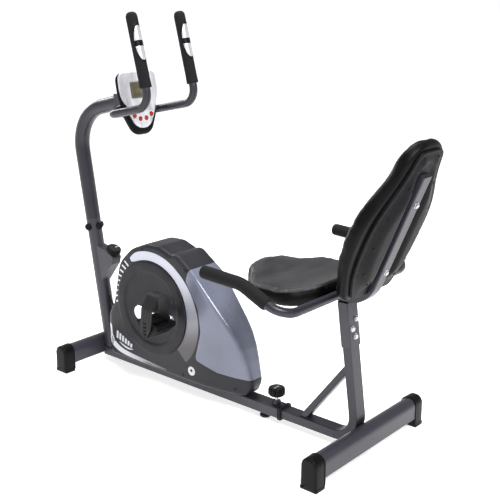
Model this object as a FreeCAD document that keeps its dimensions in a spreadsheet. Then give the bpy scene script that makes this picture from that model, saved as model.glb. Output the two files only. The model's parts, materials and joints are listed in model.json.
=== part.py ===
import FreeCAD, Part
import math
import os
from FreeCAD import Placement, Rotation, Vector

# Recumbent exercise bike. Millimetres, +Z up, floor at Z = 0, origin on the floor at the
# middle of the bounding box. +X points to the seat end, the rider faces -X, so the rider's
# left is -Y. Every driving dimension is a cell of the Dimensions sheet.

os.makedirs("parts", exist_ok=True)
doc = FreeCAD.newDocument("RecumbentBike")

DIMENSIONS = [
    ("originShift", 24.0, "moves the origin to the middle of the bounding box"),
    # base frame
    ("frontStabX", -618.5, "centre line of the front stabilizer"),
    ("rearStabX", 497.0, "centre line of the rear stabilizer"),
    ("frontStabHalf", 199.0, "half length of the front stabilizer over its caps"),
    ("rearStabHalf", 270.0, "half length of the rear stabilizer over its caps"),
    ("stabWide", 50.0, "stabilizer tube, front to back"),
    ("stabLow", 28.0, "underside of the stabilizer tubes"),
    ("stabTop", 90.0, "crown of the stabilizer tubes"),
    ("capLength", 42.0, "end cap along the tube"),
    ("capWide", 55.0, "end cap, front to back"),
    ("capTop", 93.0, "crown of the end caps"),
    ("tubeWall", 2.0, "wall of the steel tubes"),
    ("railWide", 50.0, "outer rail across"),
    ("railTall", 34.0, "outer rail height"),
    ("railLow", 20.0, "underside of the outer rail"),
    ("railEnd", 198.0, "rear end of the outer rail"),
    ("slideWide", 44.0, "sliding rail across"),
    ("slideTall", 28.0, "sliding rail height"),
    ("slideFront", -60.0, "front end of the sliding rail, inside the outer rail"),
    ("railGap", 0.3, "running gap around the sliding rail"),
    ("lipThick", 10.0, "lip of the rail bushing"),
    ("lipRise", 3.0, "lip of the rail bushing beyond the rail"),
    # mast
    ("mastFootX", -568.0, "mast axis where it would meet the floor"),
    ("mastLean", 9.2, "forward lean of the mast in degrees"),
    ("mastR", 25.0, "outer radius of the mast"),
    ("mastJoint", 505.0, "height of the joint between lower and upper mast"),
    ("mastTipX", -480.0, "rear end of the upper mast"),
    ("mastTipZ", 917.5, "height of the upper mast's rear end"),
    ("mastTopSlope", 12.6, "rise of the mast's top run in degrees"),
    ("mastBend", 140.0, "bend radius of the mast's top"),
    ("spigotDrop", 70.0, "upper mast's spigot inside the lower mast"),
    # handlebar and console
    ("barR", 12.7, "outer radius of the handlebar and side handles"),
    ("barX", -424.0, "handlebar cross tube"),
    ("barZ", 890.0, "handlebar cross tube height"),
    ("barHalf", 100.0, "half distance between the handlebar's grips"),
    ("barBendX", -241.0, "corner where the arms turn up"),
    ("barBendZ", 928.0, "corner where the arms turn up"),
    ("barTopX", -310.0, "top of the handlebar"),
    ("barTopZ", 1196.0, "top of the handlebar"),
    ("gripR", 18.0, "outer radius of the foam grips"),
    ("gripLow", 984.0, "lower end of the handlebar grips"),
    ("consoleX", -373.0, "console face at its lowest point"),
    ("consoleLow", 843.0, "lowest point of the console face"),
    ("consoleLean", 9.5, "forward lean of the console in degrees"),
    ("consoleTall", 178.0, "console face height"),
    ("consoleHalf", 80.0, "console face half width"),
    ("consoleDeep", 24.0, "console depth"),
    ("buttonR", 8.0, "radius of the console buttons"),
    # drive
    ("crankX", -299.0, "crank axis"),
    ("crankZ", 270.0, "crank axis height"),
    ("crankLength", 120.0, "crank arm from axle to pedal"),
    ("shellHalf", 65.0, "housing half width"),
    ("shellSkin", 3.0, "housing wall"),
    ("shellLow", 58.0, "underside of the housing"),
    ("discR", 158.5, "radius of the crank disc covers"),
    ("axleR", 8.5, "crank axle radius"),
    ("pulleyR", 125.0, "drive pulley radius"),
    ("flyX", -45.0, "flywheel axis"),
    ("flyZ", 185.0, "flywheel axis height"),
    ("flyR", 100.0, "flywheel radius"),
    ("flyPulleyR", 15.0, "flywheel pulley radius"),
    ("idlerR", 16.0, "belt idler radius"),
    ("beltThick", 3.0, "belt thickness"),
    ("beltGap", 0.3, "gap between the belt and its pulleys"),
    ("pedalLong", 80.0, "pedal, heel to toe"),
    ("pedalThick", 30.0, "pedal thickness"),
    ("pedalIn", 118.0, "inner end of the pedals from the middle plane"),
    ("pedalOut", 204.0, "outer end of the pedals from the middle plane"),
    ("pedalTilt", 4.0, "pedal tilt at rest in degrees"),
    ("spindleR", 7.0, "pedal spindle radius"),
    ("knobR", 26.0, "radius of the hand knobs"),
    ("cableR", 3.0, "outer radius of the tension cable"),
    # seat
    ("postFootX", 475.0, "seat post axis at the height of the sliding rail"),
    ("postTopX", 420.0, "seat post axis at its top"),
    ("postTopZ", 440.0, "top of the seat post"),
    ("postBend", 65.0, "bend radius between sliding rail and seat post"),
    ("sleeveLow", 312.0, "lower end of the seat sleeve"),
    ("sleeveWall", 3.0, "wall of the seat sleeve"),
    ("seatBarWide", 40.0, "seat bar across"),
    ("seatBarThick", 22.0, "seat bar thickness"),
    ("seatBarFront", 215.0, "front end of the seat bar"),
    ("seatBarBendX", 488.0, "corner of the seat bar's centre line"),
    ("seatBarZ", 451.0, "centre line height of the seat bar"),
    ("backTilt", 22.7, "backrest lean in degrees"),
    ("backBarTop", 398.0, "length of the seat bar above its corner"),
    ("seatBend", 90.0, "bend radius of the seat bar"),
    ("handleX", 432.0, "side handle cross tube"),
    ("handleZ", 475.0, "side handle cross tube height"),
    ("handleHalf", 300.0, "half distance between the side handles"),
    ("handleTipX", 163.0, "front end of the side handle tubes"),
    ("handleTipZ", 541.0, "height of the side handles' front ends"),
    ("seatFront", 112.0, "front of the seat cushion"),
    ("seatRear", 414.0, "rear of the seat cushion"),
    ("seatHalf", 188.0, "half width of the seat cushion"),
    ("seatTop", 510.0, "top of the seat cushion"),
    ("panThick", 7.0, "seat pan thickness"),
    ("backThick", 42.0, "backrest cushion thickness"),
    ("backShellThick", 9.0, "backrest shell thickness"),
]

sheet = doc.addObject("Spreadsheet::Sheet", "Dimensions")
for row, (alias, size, note) in enumerate(DIMENSIONS, start=1):
    sheet.set("A%d" % row, alias)
    sheet.set("B%d" % row, str(size))
    sheet.set("C%d" % row, note)
    sheet.setAlias("B%d" % row, alias)
doc.recompute()


class Sizes:
    """The sheet's cells as plain numbers."""

    def __getattr__(self, alias):
        return float(sheet.get(alias))


d = Sizes()
pieces = {}


# ---------------------------------------------------------------- helpers

def bind(obj, **expressions):
    """Bind properties to sheet formulas; a bare word names a cell."""
    for prop, formula in expressions.items():
        obj.setExpression(prop, in_sheet(formula))


def in_sheet(formula):
    """Prefix every cell alias in a formula with the sheet's name."""
    text = " %s " % formula
    for sign in "()*/+-":
        text = text.replace(sign, " %s " % sign)
    known = {alias for alias, _, _ in DIMENSIONS}
    return " ".join("Dimensions.%s" % w if w in known else w for w in text.split())


def piece(label, obj):
    """Name a finished sub-part."""
    obj.Label = label
    pieces[label] = obj
    return obj


def turned(direction):
    """Rotation that takes +Z to a direction."""
    return Rotation(Vector(0, 0, 1), Vector(*direction))


def along_y():
    return Rotation(Vector(1, 0, 0), -90)


def box(corner, sizes, rotation=None):
    """Box from its low corner; sizes are sheet formulas."""
    obj = doc.addObject("Part::Box", "Box")
    bind(obj, Length=sizes[0], Width=sizes[1], Height=sizes[2])
    obj.Placement = Placement(Vector(*corner), rotation or Rotation())
    return obj


def cylinder(base, radius, height, direction=(0, 0, 1)):
    """Cylinder from the centre of one end; radius and height are sheet formulas."""
    obj = doc.addObject("Part::Cylinder", "Cylinder")
    bind(obj, Radius=radius, Height=height)
    rotation = along_y() if direction == (0, 1, 0) else turned(direction)
    obj.Placement = Placement(Vector(*base), rotation)
    return obj


def cut(base, tool):
    obj = doc.addObject("Part::Cut", "Cut")
    obj.Base = base
    obj.Tool = tool
    return obj


def fuse(*objects):
    """One solid from touching or overlapping ones."""
    obj = doc.addObject("Part::MultiFuse", "Fuse")
    obj.Shapes = list(objects)
    obj.Refine = True
    return obj


def group(*objects):
    """Separate solids that share a node."""
    obj = doc.addObject("Part::Compound", "Group")
    obj.Links = list(objects)
    return obj


def feature(shape, name="Shape"):
    """A shape made with Part's own functions from the sheet's sizes."""
    obj = doc.addObject("Part::Feature", name)
    obj.Shape = shape
    return obj


def rounded_wire(points, radii, closed=True):
    """Straight runs joined by tangent arcs. Points are Vectors; a radius of 0 keeps a corner."""
    count = len(points)
    if not closed:
        radii = [0] + list(radii) + [0]
    starts, ends, arcs = [], [], []
    for i in range(count):
        here = points[i]
        radius = radii[i]
        if radius == 0:
            starts.append(here)
            ends.append(here)
            arcs.append(None)
            continue
        back = (points[i - 1] - here).normalize()
        ahead = (points[(i + 1) % count] - here).normalize()
        half = back.getAngle(ahead) / 2
        reach = radius / math.tan(half)
        first = here + back * reach
        last = here + ahead * reach
        centre = here + (back + ahead).normalize() * (radius / math.sin(half))
        middle = centre + (here - centre).normalize() * radius
        starts.append(first)
        ends.append(last)
        arcs.append(Part.Arc(first, middle, last).toShape())
    edges = []
    for i in range(count if closed else count - 1):
        if arcs[i]:
            edges.append(arcs[i])
        following = starts[(i + 1) % count]
        if ends[i].distanceToPoint(following) > 1e-6:
            edges.append(Part.LineSegment(ends[i], following).toShape())
    return Part.Wire(edges)


def xz(points):
    return [Vector(x, 0, z) for x, z in points]


def prism(wire, low_y, high_y):
    """Solid from a closed wire in the XZ plane, between two values of Y."""
    face = Part.Face(wire)
    face.translate(Vector(0, low_y, 0))
    return face.extrude(Vector(0, high_y - low_y, 0))


def body_pad(plane, outline, radii, length, offset=0.0):
    """PartDesign body: a rounded outline on an origin plane, padded by a sheet formula."""
    body = doc.addObject("PartDesign::Body", "Body")
    sketch = body.newObject("Sketcher::SketchObject", "Outline")
    origin = [f for f in body.Origin.OriginFeatures if f.Role == plane][0]
    sketch.AttachmentSupport = [(origin, "")]
    sketch.MapMode = "FlatFace"
    sketch.AttachmentOffset = Placement(Vector(0, 0, offset), Rotation())
    flat = [Vector(x, y, 0) for x, y in outline]
    for edge in rounded_wire(flat, radii).Edges:
        if edge.Curve.TypeId == "Part::GeomLine":
            ends = [v.Point for v in edge.Vertexes]
            sketch.addGeometry(Part.LineSegment(ends[0], ends[1]), False)
        else:
            first, last = edge.ParameterRange
            middle = edge.valueAt((first + last) / 2)
            arc = Part.Arc(edge.valueAt(first), middle, edge.valueAt(last))
            sketch.addGeometry(arc, False)
    pad = body.newObject("PartDesign::Pad", "Pad")
    pad.Profile = sketch
    pad.setExpression("Length", in_sheet(length))
    doc.recompute()
    return body


def swept(path, radius, hollow=True):
    """Round tube along a wire: a circle of a sheet formula's radius swept along it."""
    spine = feature(path, "Path")
    spine.Visibility = False
    edges = ["Edge%d" % (i + 1) for i in range(len(path.Edges))]
    first = path.OrderedEdges[0]
    start = path.OrderedVertexes[0].Point
    forward = first.tangentAt(first.FirstParameter)
    if first.valueAt(first.FirstParameter).distanceToPoint(start) > 1e-6:
        forward = first.tangentAt(first.LastParameter) * -1

    def sweep(formula):
        ring = doc.addObject("Part::Circle", "Ring")
        bind(ring, Radius=formula)
        ring.Placement = Placement(start, turned(forward))
        tube = doc.addObject("Part::Sweep", "Sweep")
        tube.Sections = [ring]
        tube.Spine = (spine, edges)
        tube.Solid = True
        tube.Transition = 1
        return tube

    outer = sweep(radius)
    return cut(outer, sweep("%s - tubeWall" % radius)) if hollow else outer


def mirrored(obj):
    """The same piece on the other side of the middle plane."""
    twin = doc.addObject("Part::Mirroring", "Twin")
    twin.Source = obj
    twin.Normal = Vector(0, 1, 0)
    return twin


def hex_bolt(head, direction, length, washer=0.0):
    """M8 hexagon bolt: head outside, shank inwards, and a washer under the head."""
    axis = Vector(*direction).normalize()
    place = Placement(Vector(*head), turned(tuple(axis)))
    flats = [Vector(7.2 * math.cos(a), 7.2 * math.sin(a), washer)
             for a in (math.radians(60 * i) for i in range(6))]
    solid = Part.Face(Part.makePolygon(flats + [flats[0]])).extrude(Vector(0, 0, 5.5))
    crown = Part.makeSphere(9.0, Vector(0, 0, washer - 2.2))
    solid = solid.common(crown)
    solid = solid.fuse(Part.makeCylinder(4.0, length + washer, Vector(0, 0, -length)))
    if washer:
        solid = solid.fuse(Part.makeCylinder(8.5, washer))
    solid = solid.removeSplitter()
    solid.Placement = place
    return solid


def mast_x(height):
    """X of the mast's axis at a height."""
    return d.mastFootX - height * math.tan(math.radians(d.mastLean))


def leaning(degrees):
    """Unit vector in the XZ plane that leans to -X from vertical."""
    a = math.radians(degrees)
    return Vector(-math.sin(a), 0, math.cos(a))


# ---------------------------------------------------------------- stabilizers

def domed_outline(wide, low, top, crown):
    """Upright section with a round crown, in the XZ plane about X = 0."""
    half = wide / 2
    return xz([(-half, low), (half, low), (half, top), (-half, top)]), [3, 3, crown, crown]


def stabilizer(centre, half):
    points, radii = domed_outline(d.stabWide, d.stabLow, d.stabTop, 24.0)
    outer = prism(rounded_wire(points, radii), -half, half)
    wall = d.tubeWall
    points, radii = domed_outline(d.stabWide - 2 * wall, d.stabLow + wall, d.stabTop - wall, 22.0)
    inner = prism(rounded_wire(points, [1, 1, 22, 22]), -half, half)
    tube = outer.cut(inner)
    tube.translate(Vector(centre, 0, 0))
    return feature(tube)


def end_cap(half):
    """Cap on the -Y end: floor-standing foot with a domed crown and a socket for the tube."""
    points, _ = domed_outline(d.capWide, 0.0, d.capTop, 26.0)
    block = prism(rounded_wire(points, [5, 5, 26, 26]), -half, -half + d.capLength)
    outer_edges = [e for e in block.Edges if e.BoundBox.YMax < -half + 0.01]
    block = block.makeFillet(4.0, outer_edges)
    points, radii = domed_outline(d.stabWide + 0.1, d.stabLow - 0.05, d.stabTop + 0.05, 24.05)
    socket = prism(rounded_wire(points, radii), -half + 6.0, -half + d.capLength + 1)
    return block.cut(socket)


def caps(label, centre, half):
    cap = end_cap(half)
    cap.translate(Vector(centre, 0, 0))
    near = feature(cap)
    return piece(label, group(near, mirrored(near)))


piece("front_stabilizer", stabilizer(d.frontStabX, d.frontStabHalf - 6.5))
caps("front_end_caps", d.frontStabX, d.frontStabHalf)
caps("rear_end_caps", d.rearStabX, d.rearStabHalf)


# ---------------------------------------------------------------- rails

RAIL_START = d.frontStabX + d.stabWide / 2
RAIL_TOP = d.railLow + d.railTall
SLIDE_MID = d.railLow + d.railTall / 2
LOCK_X = d.railEnd - 24.0


def rail_section(wide, tall, round_corner):
    half = wide / 2
    low = -tall / 2
    points = [(-half, low), (half, low), (half, -low), (-half, -low)]
    return points, [round_corner] * 4


def box_run(wide, tall, corner, start, length):
    """Rounded bar along +X whose section is centred on the sliding rail's axis."""
    outline, radii = rail_section(wide, tall, corner)
    bar = body_pad("YZ_Plane", outline, radii, length, start)
    bar.Placement = Placement(Vector(0, 0, SLIDE_MID), Rotation())
    return bar


outer_bar = box_run(d.railWide, d.railTall, 4.0, RAIL_START, "railEnd - frontStabX - stabWide / 2")
bore_bar = box_run(d.railWide - 2 * d.tubeWall, d.railTall - 2 * d.tubeWall, 2.0, RAIL_START,
                   "railEnd - frontStabX - stabWide / 2")
lock_boss = cylinder((LOCK_X, 0, RAIL_TOP - 0.5), "13", "12.5")
lock_bore = cylinder((LOCK_X, 0, RAIL_TOP - 10), "5.06", "30")
foot_bore = cylinder((130, 0, d.railLow - 1), "4.06", "6")
rail = cut(fuse(cut(outer_bar, bore_bar), lock_boss), group(lock_bore, foot_bore))
piece("main_rail", rail)

bush_lip = box_run(d.railWide + 2 * d.lipRise, d.railTall + 2 * d.lipRise, 5.0, d.railEnd, "lipThick")
bush_tail = box_run(d.railWide - 2 * d.tubeWall - 0.2, d.railTall - 2 * d.tubeWall - 0.2, 1.9,
                    d.railEnd - 14, "14.5")
bush_hole = box_run(d.slideWide + 2 * d.railGap, d.slideTall + 2 * d.railGap, 2.3,
                    d.railEnd - 20, "lipThick + 40")
piece("rail_bushing", cut(fuse(bush_lip, bush_tail), bush_hole))


def fluted(radius, height, flutes, depth):
    """Hand knob head: a round block with shallow finger flutes."""
    head = Part.makeCylinder(radius, height)
    head = head.makeFillet(2.5, [e for e in head.Edges if e.BoundBox.ZLength < 0.01])
    for i in range(flutes):
        a = 2 * math.pi * i / flutes
        groove = Part.makeCylinder(depth * 2, height + 2,
                                   Vector((radius + depth) * math.cos(a), (radius + depth) * math.sin(a), -1))
        head = head.cut(groove)
    return head


lock_head = fluted(d.knobR, 29.0, 12, 2.0)
lock_head.translate(Vector(LOCK_X, 0, RAIL_TOP + 26.0))
lock_screw = Part.makeCylinder(5.0, 27.0, Vector(LOCK_X, 0, RAIL_TOP + 1.0))
piece("rail_lock_knob", feature(lock_head.fuse(lock_screw).removeSplitter()))

foot_pad = Part.makeCylinder(17.0, 10.0, Vector(130, 0, 0))
foot_pad = foot_pad.makeFillet(3.0, [foot_pad.Edges[0], foot_pad.Edges[2]])
foot_screw = Part.makeCylinder(4.0, 14.5, Vector(130, 0, 8.0))
piece("leveling_foot", feature(foot_pad.fuse(foot_screw).removeSplitter()))


# ---------------------------------------------------------------- mast

MAST_UP = leaning(d.mastLean)
MAST_REAR = Vector(MAST_UP.z, 0, -MAST_UP.x)
HORIZON = Vector(1, 0, 0)


def mast_point(height):
    return Vector(mast_x(height), 0, height)


def crossing(p, u, q, v):
    """Where two lines of the XZ plane meet: through p along u, through q along v."""
    gap = q - p
    reach = (gap.x * v.z - gap.z * v.x) / (u.x * v.z - u.z * v.x)
    return p + u * reach


def holes(places, radius, depth):
    """Bolt holes as one cutting tool: each place is a point and an outward direction."""
    ways = [Part.makeCylinder(radius, 2 * depth, point - out.normalize() * depth, out)
            for point, out in places]
    return feature(Part.makeCompound(ways))


def slab(points, radii, low_y, high_y):
    """Plate with a rounded outline given as (x, z) pairs."""
    return feature(prism(rounded_wire(xz(points), radii), low_y, high_y))


def y_cylinder(x, z, low_y, high_y, radius):
    """Cylinder along Y between two values of Y."""
    return Part.makeCylinder(radius, high_y - low_y, Vector(x, low_y, z), Vector(0, 1, 0))


def rounded_radii(points):
    """The largest smooth bend at each inner point of a cable's route."""
    radii = []
    for before, here, after in zip(points, points[1:], points[2:]):
        turn = (here - before).getAngle(after - here)
        shorter = min(here.distanceToPoint(before), here.distanceToPoint(after))
        radii.append(0.45 * shorter / math.tan(turn / 2))
    return radii


CABLE_ROUTE = [Vector(*p) for p in [
    (-580, 0, 368), (-604, 0, 318), (-604, 0, 262), (-570, 0, 213), (-520, -3, 172),
    (-462, -10, 137), (-400, -17, 112), (-340, -21, 101), (-280, -20, 98), (-222, -16, 106)]]
cable_path = rounded_wire(CABLE_ROUTE, rounded_radii(CABLE_ROUTE), closed=False)
cable = piece("tension_cable", swept(cable_path, "cableR", hollow=False))
cable_way = swept(cable_path, "cableR + 1.5", hollow=False)

below_rail = box((mast_x(0) - 100, -50, RAIL_TOP - 100), ("200", "100", "100"))
beside_stabilizer = box((RAIL_START - 100, -50, 0), ("100", "100", "stabTop + 0.1"))
mast_rings = [(mast_point(478) + out * (d.mastR / out.Length), out) for out in
              [Vector(MAST_REAR), Vector(MAST_REAR) * -1, Vector(0, 1, 0), Vector(0, -1, 0)]]
mast_holes = holes(mast_rings, 4.0, 12.0)
lower_path = Part.Wire(Part.LineSegment(mast_point(20), mast_point(d.mastJoint)).toShape())
lower_mast = cut(swept(lower_path, "mastR"), group(below_rail, beside_stabilizer))
piece("lower_mast", cut(cut(lower_mast, cable_way), mast_holes))

mast_tip = Vector(d.mastTipX, 0, d.mastTipZ)
top_run = Vector(math.cos(math.radians(d.mastTopSlope)), 0, math.sin(math.radians(d.mastTopSlope)))
mast_corner = crossing(mast_point(0), MAST_UP, mast_tip, top_run)
upper_path = rounded_wire([mast_point(d.mastJoint), mast_corner, mast_tip], [d.mastBend], closed=False)
spigot_foot = mast_point(d.mastJoint - d.spigotDrop)
spigot = cylinder(spigot_foot, "mastR - tubeWall", "spigotDrop + 30", tuple(MAST_UP))
spigot_bore = cylinder(mast_point(d.mastJoint - d.spigotDrop - 5), "mastR - 2 * tubeWall", "spigotDrop + 40",
                       tuple(MAST_UP))
upper_mast = cut(fuse(swept(upper_path, "mastR"), cut(spigot, spigot_bore)), mast_holes)
piece("upper_mast", upper_mast)

CLAMP_BOLTS = [Vector(-452, -16, 872), Vector(-452, 16, 872)]
down = Vector(0, 0, -1)
mast_bolts = [hex_bolt(point, tuple(out), 10.0, washer=1.5) for point, out in mast_rings]
clamp_bolts = [hex_bolt(point, (0, 0, -1), 14.0) for point in CLAMP_BOLTS]
piece("mast_bolts", feature(Part.makeCompound(mast_bolts + clamp_bolts)))


# ---------------------------------------------------------------- tension control

KNOB_LEAN = -28.0
KNOB_AXIS = leaning(KNOB_LEAN)
KNOB_BASE = Vector(-554.2, 0, 397.3)


def on_knob(shape):
    """Move a shape built along +Z to the tension knob's axis."""
    shape.Placement = Placement(KNOB_BASE, turned(tuple(KNOB_AXIS)))
    return shape


wedge_outline = [(mast_x(270), 270), (-541, 360), (-533, 386), (-566, 403), (mast_x(420), 420)]
wedge = prism(rounded_wire(xz(wedge_outline), [0, 14, 6, 6, 0]), -19.0, 19.0)
wedge_room = prism(rounded_wire(xz([(mast_x(300), 300), (-549, 362), (-545, 378), (mast_x(390), 390)]),
                                [0, 5, 5, 0]), -16.0, 16.0)
mast_core = cylinder(mast_point(200), "mastR", "300", tuple(MAST_UP))
knob_way = on_knob(Part.makeCylinder(4.06, 60, Vector(0, 0, -40)))
wedge = feature(wedge.cut(wedge_room).cut(knob_way))
piece("tension_bracket", cut(cut(wedge, mast_core), cable_way))

knob = fluted(25.0, 20.0, 14, 1.8)
knob.translate(Vector(0, 0, 1))
dial = Part.makeCylinder(20.0, 2.0, Vector(0, 0, 21))
stem = Part.makeCylinder(4.0, 18.0, Vector(0, 0, -16))
piece("tension_knob", feature(on_knob(knob.fuse([dial, stem]).removeSplitter())))


# ---------------------------------------------------------------- handlebar

def both_sides(points):
    """A route down the -Y side and back up the +Y side."""
    near = [Vector(x, -y, z) for x, y, z in points]
    far = [Vector(x, y, z) for x, y, z in reversed(points)]
    return near + far


bar_route = both_sides([(d.barTopX, d.barHalf, d.barTopZ), (d.barBendX, d.barHalf, d.barBendZ),
                        (d.barX, d.barHalf, d.barZ)])
bar_path = rounded_wire(bar_route, [48, 30, 30, 48], closed=False)
piece("handlebar", swept(bar_path, "barR"))

GRIP_UP = Vector(d.barTopX - d.barBendX, 0, d.barTopZ - d.barBendZ).normalize()


def grip_point(height, y):
    run = (height - d.barBendZ) / GRIP_UP.z
    return Vector(d.barBendX + GRIP_UP.x * run, y, height)


def foam_grip(start, direction, length):
    """Foam sleeve with a closed, rounded outer end, over a tube that stops 4 mm short of it."""
    foam = Part.makeCylinder(d.gripR, length, start, direction)
    foam = foam.makeFillet(5.0, [e for e in foam.Edges if e.isClosed()])
    return foam.cut(Part.makeCylinder(d.barR, length - 4.0, start, direction))


grip_length = (d.barTopZ - d.gripLow) / GRIP_UP.z + 4.0
hand_grip = feature(foam_grip(grip_point(d.gripLow, -d.barHalf), GRIP_UP, grip_length))
piece("hand_grips", group(hand_grip, mirrored(hand_grip)))


def pulse_plate(low, high):
    """Curved contact plate on the rider's side of the near grip."""
    start = grip_point(low, -d.barHalf)
    length = (high - low) / GRIP_UP.z
    ring = Part.makeCylinder(d.gripR + 1.0, length, start, GRIP_UP)
    ring = ring.cut(Part.makeCylinder(d.gripR, length, start, GRIP_UP))
    keep = Part.makeBox(40, 29, 400, Vector(9, -14.5, -50))
    keep.Placement = Placement(start, turned(tuple(GRIP_UP)))
    return ring.common(keep)


plates = feature(Part.makeCompound([pulse_plate(1070, 1101), pulse_plate(1119, 1152)]))
piece("pulse_plates", group(plates, mirrored(plates)))


# ---------------------------------------------------------------- console

CONSOLE_TURN = Placement(Vector(d.consoleX, 0, d.consoleLow), Rotation(Vector(0, 1, 0), -d.consoleLean))


def console_outline(grow=0.0, chin=0.0):
    """Face outline in the console's own YZ plane: wide top, round lower end."""
    wide = d.consoleHalf + grow
    top = d.consoleTall + grow
    low = -grow - chin
    near = [(-0.55 * wide, low), (-0.95 * wide, low + 0.36 * top), (-wide, top)]
    points = near + [(-y, z) for y, z in reversed(near)]
    return rounded_wire([Vector(0, y, z) for y, z in points], [52, 60, 12, 12, 60, 52])


def console_plate(wire, start, thickness, edge=0.0):
    """Plate of the console, start mm in front of the face plane and extruded towards the rider."""
    plate = Part.Face(wire).extrude(Vector(thickness, 0, 0))
    plate.translate(Vector(start, 0, 0))
    if edge:
        rim = [e for e in plate.Edges if e.BoundBox.XLength < 0.01
               and abs(e.BoundBox.XMin - (start + thickness if edge > 0 else start)) < 0.01]
        plate = plate.makeFillet(abs(edge), rim)
    return plate


def on_console(shape):
    shape.Placement = CONSOLE_TURN
    return shape


CONSOLE_BUTTONS = [(-36.0, 42.0), (-12.5, 31.0), (12.5, 31.0), (36.0, 42.0)]
face_plate = console_plate(console_outline(), -4.0, 4.0, 1.5)
for y, z in CONSOLE_BUTTONS:
    face_plate = face_plate.cut(Part.makeCylinder(d.buttonR + 0.06, 10, Vector(-6, y, z), HORIZON))
window_room = Part.makeBox(20, 70, 50, Vector(-10, -35, 96))
face_plate = face_plate.cut(window_room)
piece("console_face", feature(on_console(face_plate)))
window = Part.makeBox(4.5, 70, 50, Vector(-4, -35, 96))
piece("display_window", feature(on_console(window)))

back = console_plate(console_outline(2.0, 18.0), -4.0 - d.consoleDeep, d.consoleDeep, -20.0)
hollow = console_plate(console_outline(-3.0, 0.0), -d.consoleDeep - 1.0, d.consoleDeep)
piece("console_back", feature(on_console(back.cut(hollow))))
board = console_plate(console_outline(-10.0), -13.0, 1.6)
board_posts = [Part.makeCylinder(3.0, 12.0, Vector(-25.0, y, z), HORIZON) for y, z in
               [(-55, 150), (55, 150), (0, 12)]]
piece("console_board", feature(on_console(board.fuse(board_posts))))
for number, (y, z) in enumerate(CONSOLE_BUTTONS, start=1):
    button = Part.makeCylinder(d.buttonR, 11.0, Vector(-8.0, y, z), HORIZON)
    button = button.makeFillet(1.5, [e for e in button.Edges if e.BoundBox.XMin > 2.9])
    piece("console_button_%d" % number, feature(on_console(button)))

clamp_outline = [(d.mastTipX - 4, 874), (-404.9, 874), (-414.5, 932), (d.mastTipX - 4, 946)]
clamp = slab(clamp_outline, [8, 3, 3, 3], -30.0, 30.0)
clamp_cuts = [swept(bar_path, "barR", hollow=False), swept(upper_path, "mastR", hollow=False),
              holes([(point, down) for point in CLAMP_BOLTS], 4.0, 14.0)]
clamp_lid = on_console(Part.makeBox(60, 200, 400, Vector(-4.0 - d.consoleDeep, -100, -150)))
piece("handlebar_clamp", cut(cut(clamp, group(*clamp_cuts)), feature(clamp_lid)))


# ---------------------------------------------------------------- drive

STAY_LOW, STAY_HIGH = -12.0, 8.0
BELT_LOW, BELT_HIGH = 14.0, 28.0
FORK_NEAR, FORK_FAR = -22.0, 32.0
crank_centre = Vector(d.crankX, 0, d.crankZ)


def crank_cylinder(low_y, high_y, radius):
    return y_cylinder(d.crankX, d.crankZ, low_y, high_y, radius)


stay = Part.makeBox(40, STAY_HIGH - STAY_LOW, d.crankZ - RAIL_TOP, Vector(d.crankX - 20, STAY_LOW, RAIL_TOP))
stay = stay.makeFillet(4.0, [e for e in stay.Edges if e.BoundBox.ZLength > 100])
stay = stay.cut(Part.makeBox(34, STAY_HIGH - STAY_LOW - 4, 300, Vector(d.crankX - 17, STAY_LOW + 2, 0)))
stay = stay.fuse(crank_cylinder(-30.0, 11.0, 20.0)).cut(crank_cylinder(-31.0, 12.0, 16.0))
piece("crank_stay", feature(stay.removeSplitter()))
bearings = [crank_cylinder(low, low + 9.0, 16.0).cut(crank_cylinder(low, low + 9.0, d.axleR + 0.06))
            for low in (-30.0, 2.0)]
piece("crank_bearings", feature(Part.makeCompound(bearings)))
piece("crank_axle", feature(crank_cylinder(-113.0, 113.0, d.axleR)))

DISC_LOW, DISC_HIGH = 66.2, 71.8


def disc_cover():
    """Near disc: dished cover with a raised rim ring and a hub boss."""
    disc = crank_cylinder(-DISC_HIGH, -DISC_LOW, d.discR)
    disc = disc.makeFillet(2.0, [e for e in disc.Edges if e.BoundBox.YMin < -DISC_HIGH + 0.01
                                 and e.BoundBox.YLength < 0.01])
    room = crank_cylinder(-DISC_HIGH + 2.5, -DISC_LOW + 1.0, d.discR - 3.0)
    dish = crank_cylinder(-DISC_HIGH - 1.0, -DISC_HIGH + 1.0, 122.0)
    hub = crank_cylinder(-DISC_HIGH, -DISC_LOW, 24.0)
    return disc.cut(room).cut(dish).fuse(hub).cut(crank_cylinder(-90.0, -60.0, d.axleR))


disc = feature(disc_cover())
piece("crank_discs", group(disc, mirrored(disc)))


def crank_arm(side):
    """Arm on one side: side is -1 for the rider's left, pointing to +X, and 1 for the right."""
    reach = -side * d.crankLength
    low, high = sorted((side * 100.0, side * 113.0))
    hub, toe = 21.0, 14.0
    lean = math.acos((hub - toe) / d.crankLength)
    ways = []
    for radius, x in ((hub, 0.0), (toe, reach)):
        out = radius * math.cos(lean) * (1 if reach > 0 else -1)
        ways.append([Vector(x + out, 0, s * radius * math.sin(lean))
                     for s in (1, -1)])
    web = Part.makePolygon([ways[0][0], ways[1][0], ways[1][1], ways[0][1], ways[0][0]])
    arm = prism(web, low, high).fuse([y_cylinder(0, 0, low, high, hub), y_cylinder(reach, 0, low, high, toe)])
    arm.translate(crank_centre)
    arm = arm.removeSplitter().cut(crank_cylinder(-120.0, 120.0, d.axleR))
    inner, outer = sorted((side * 113.0, side * 199.0))
    return arm.fuse(y_cylinder(d.crankX + reach, d.crankZ, inner, outer, d.spindleR)).removeSplitter()


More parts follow.
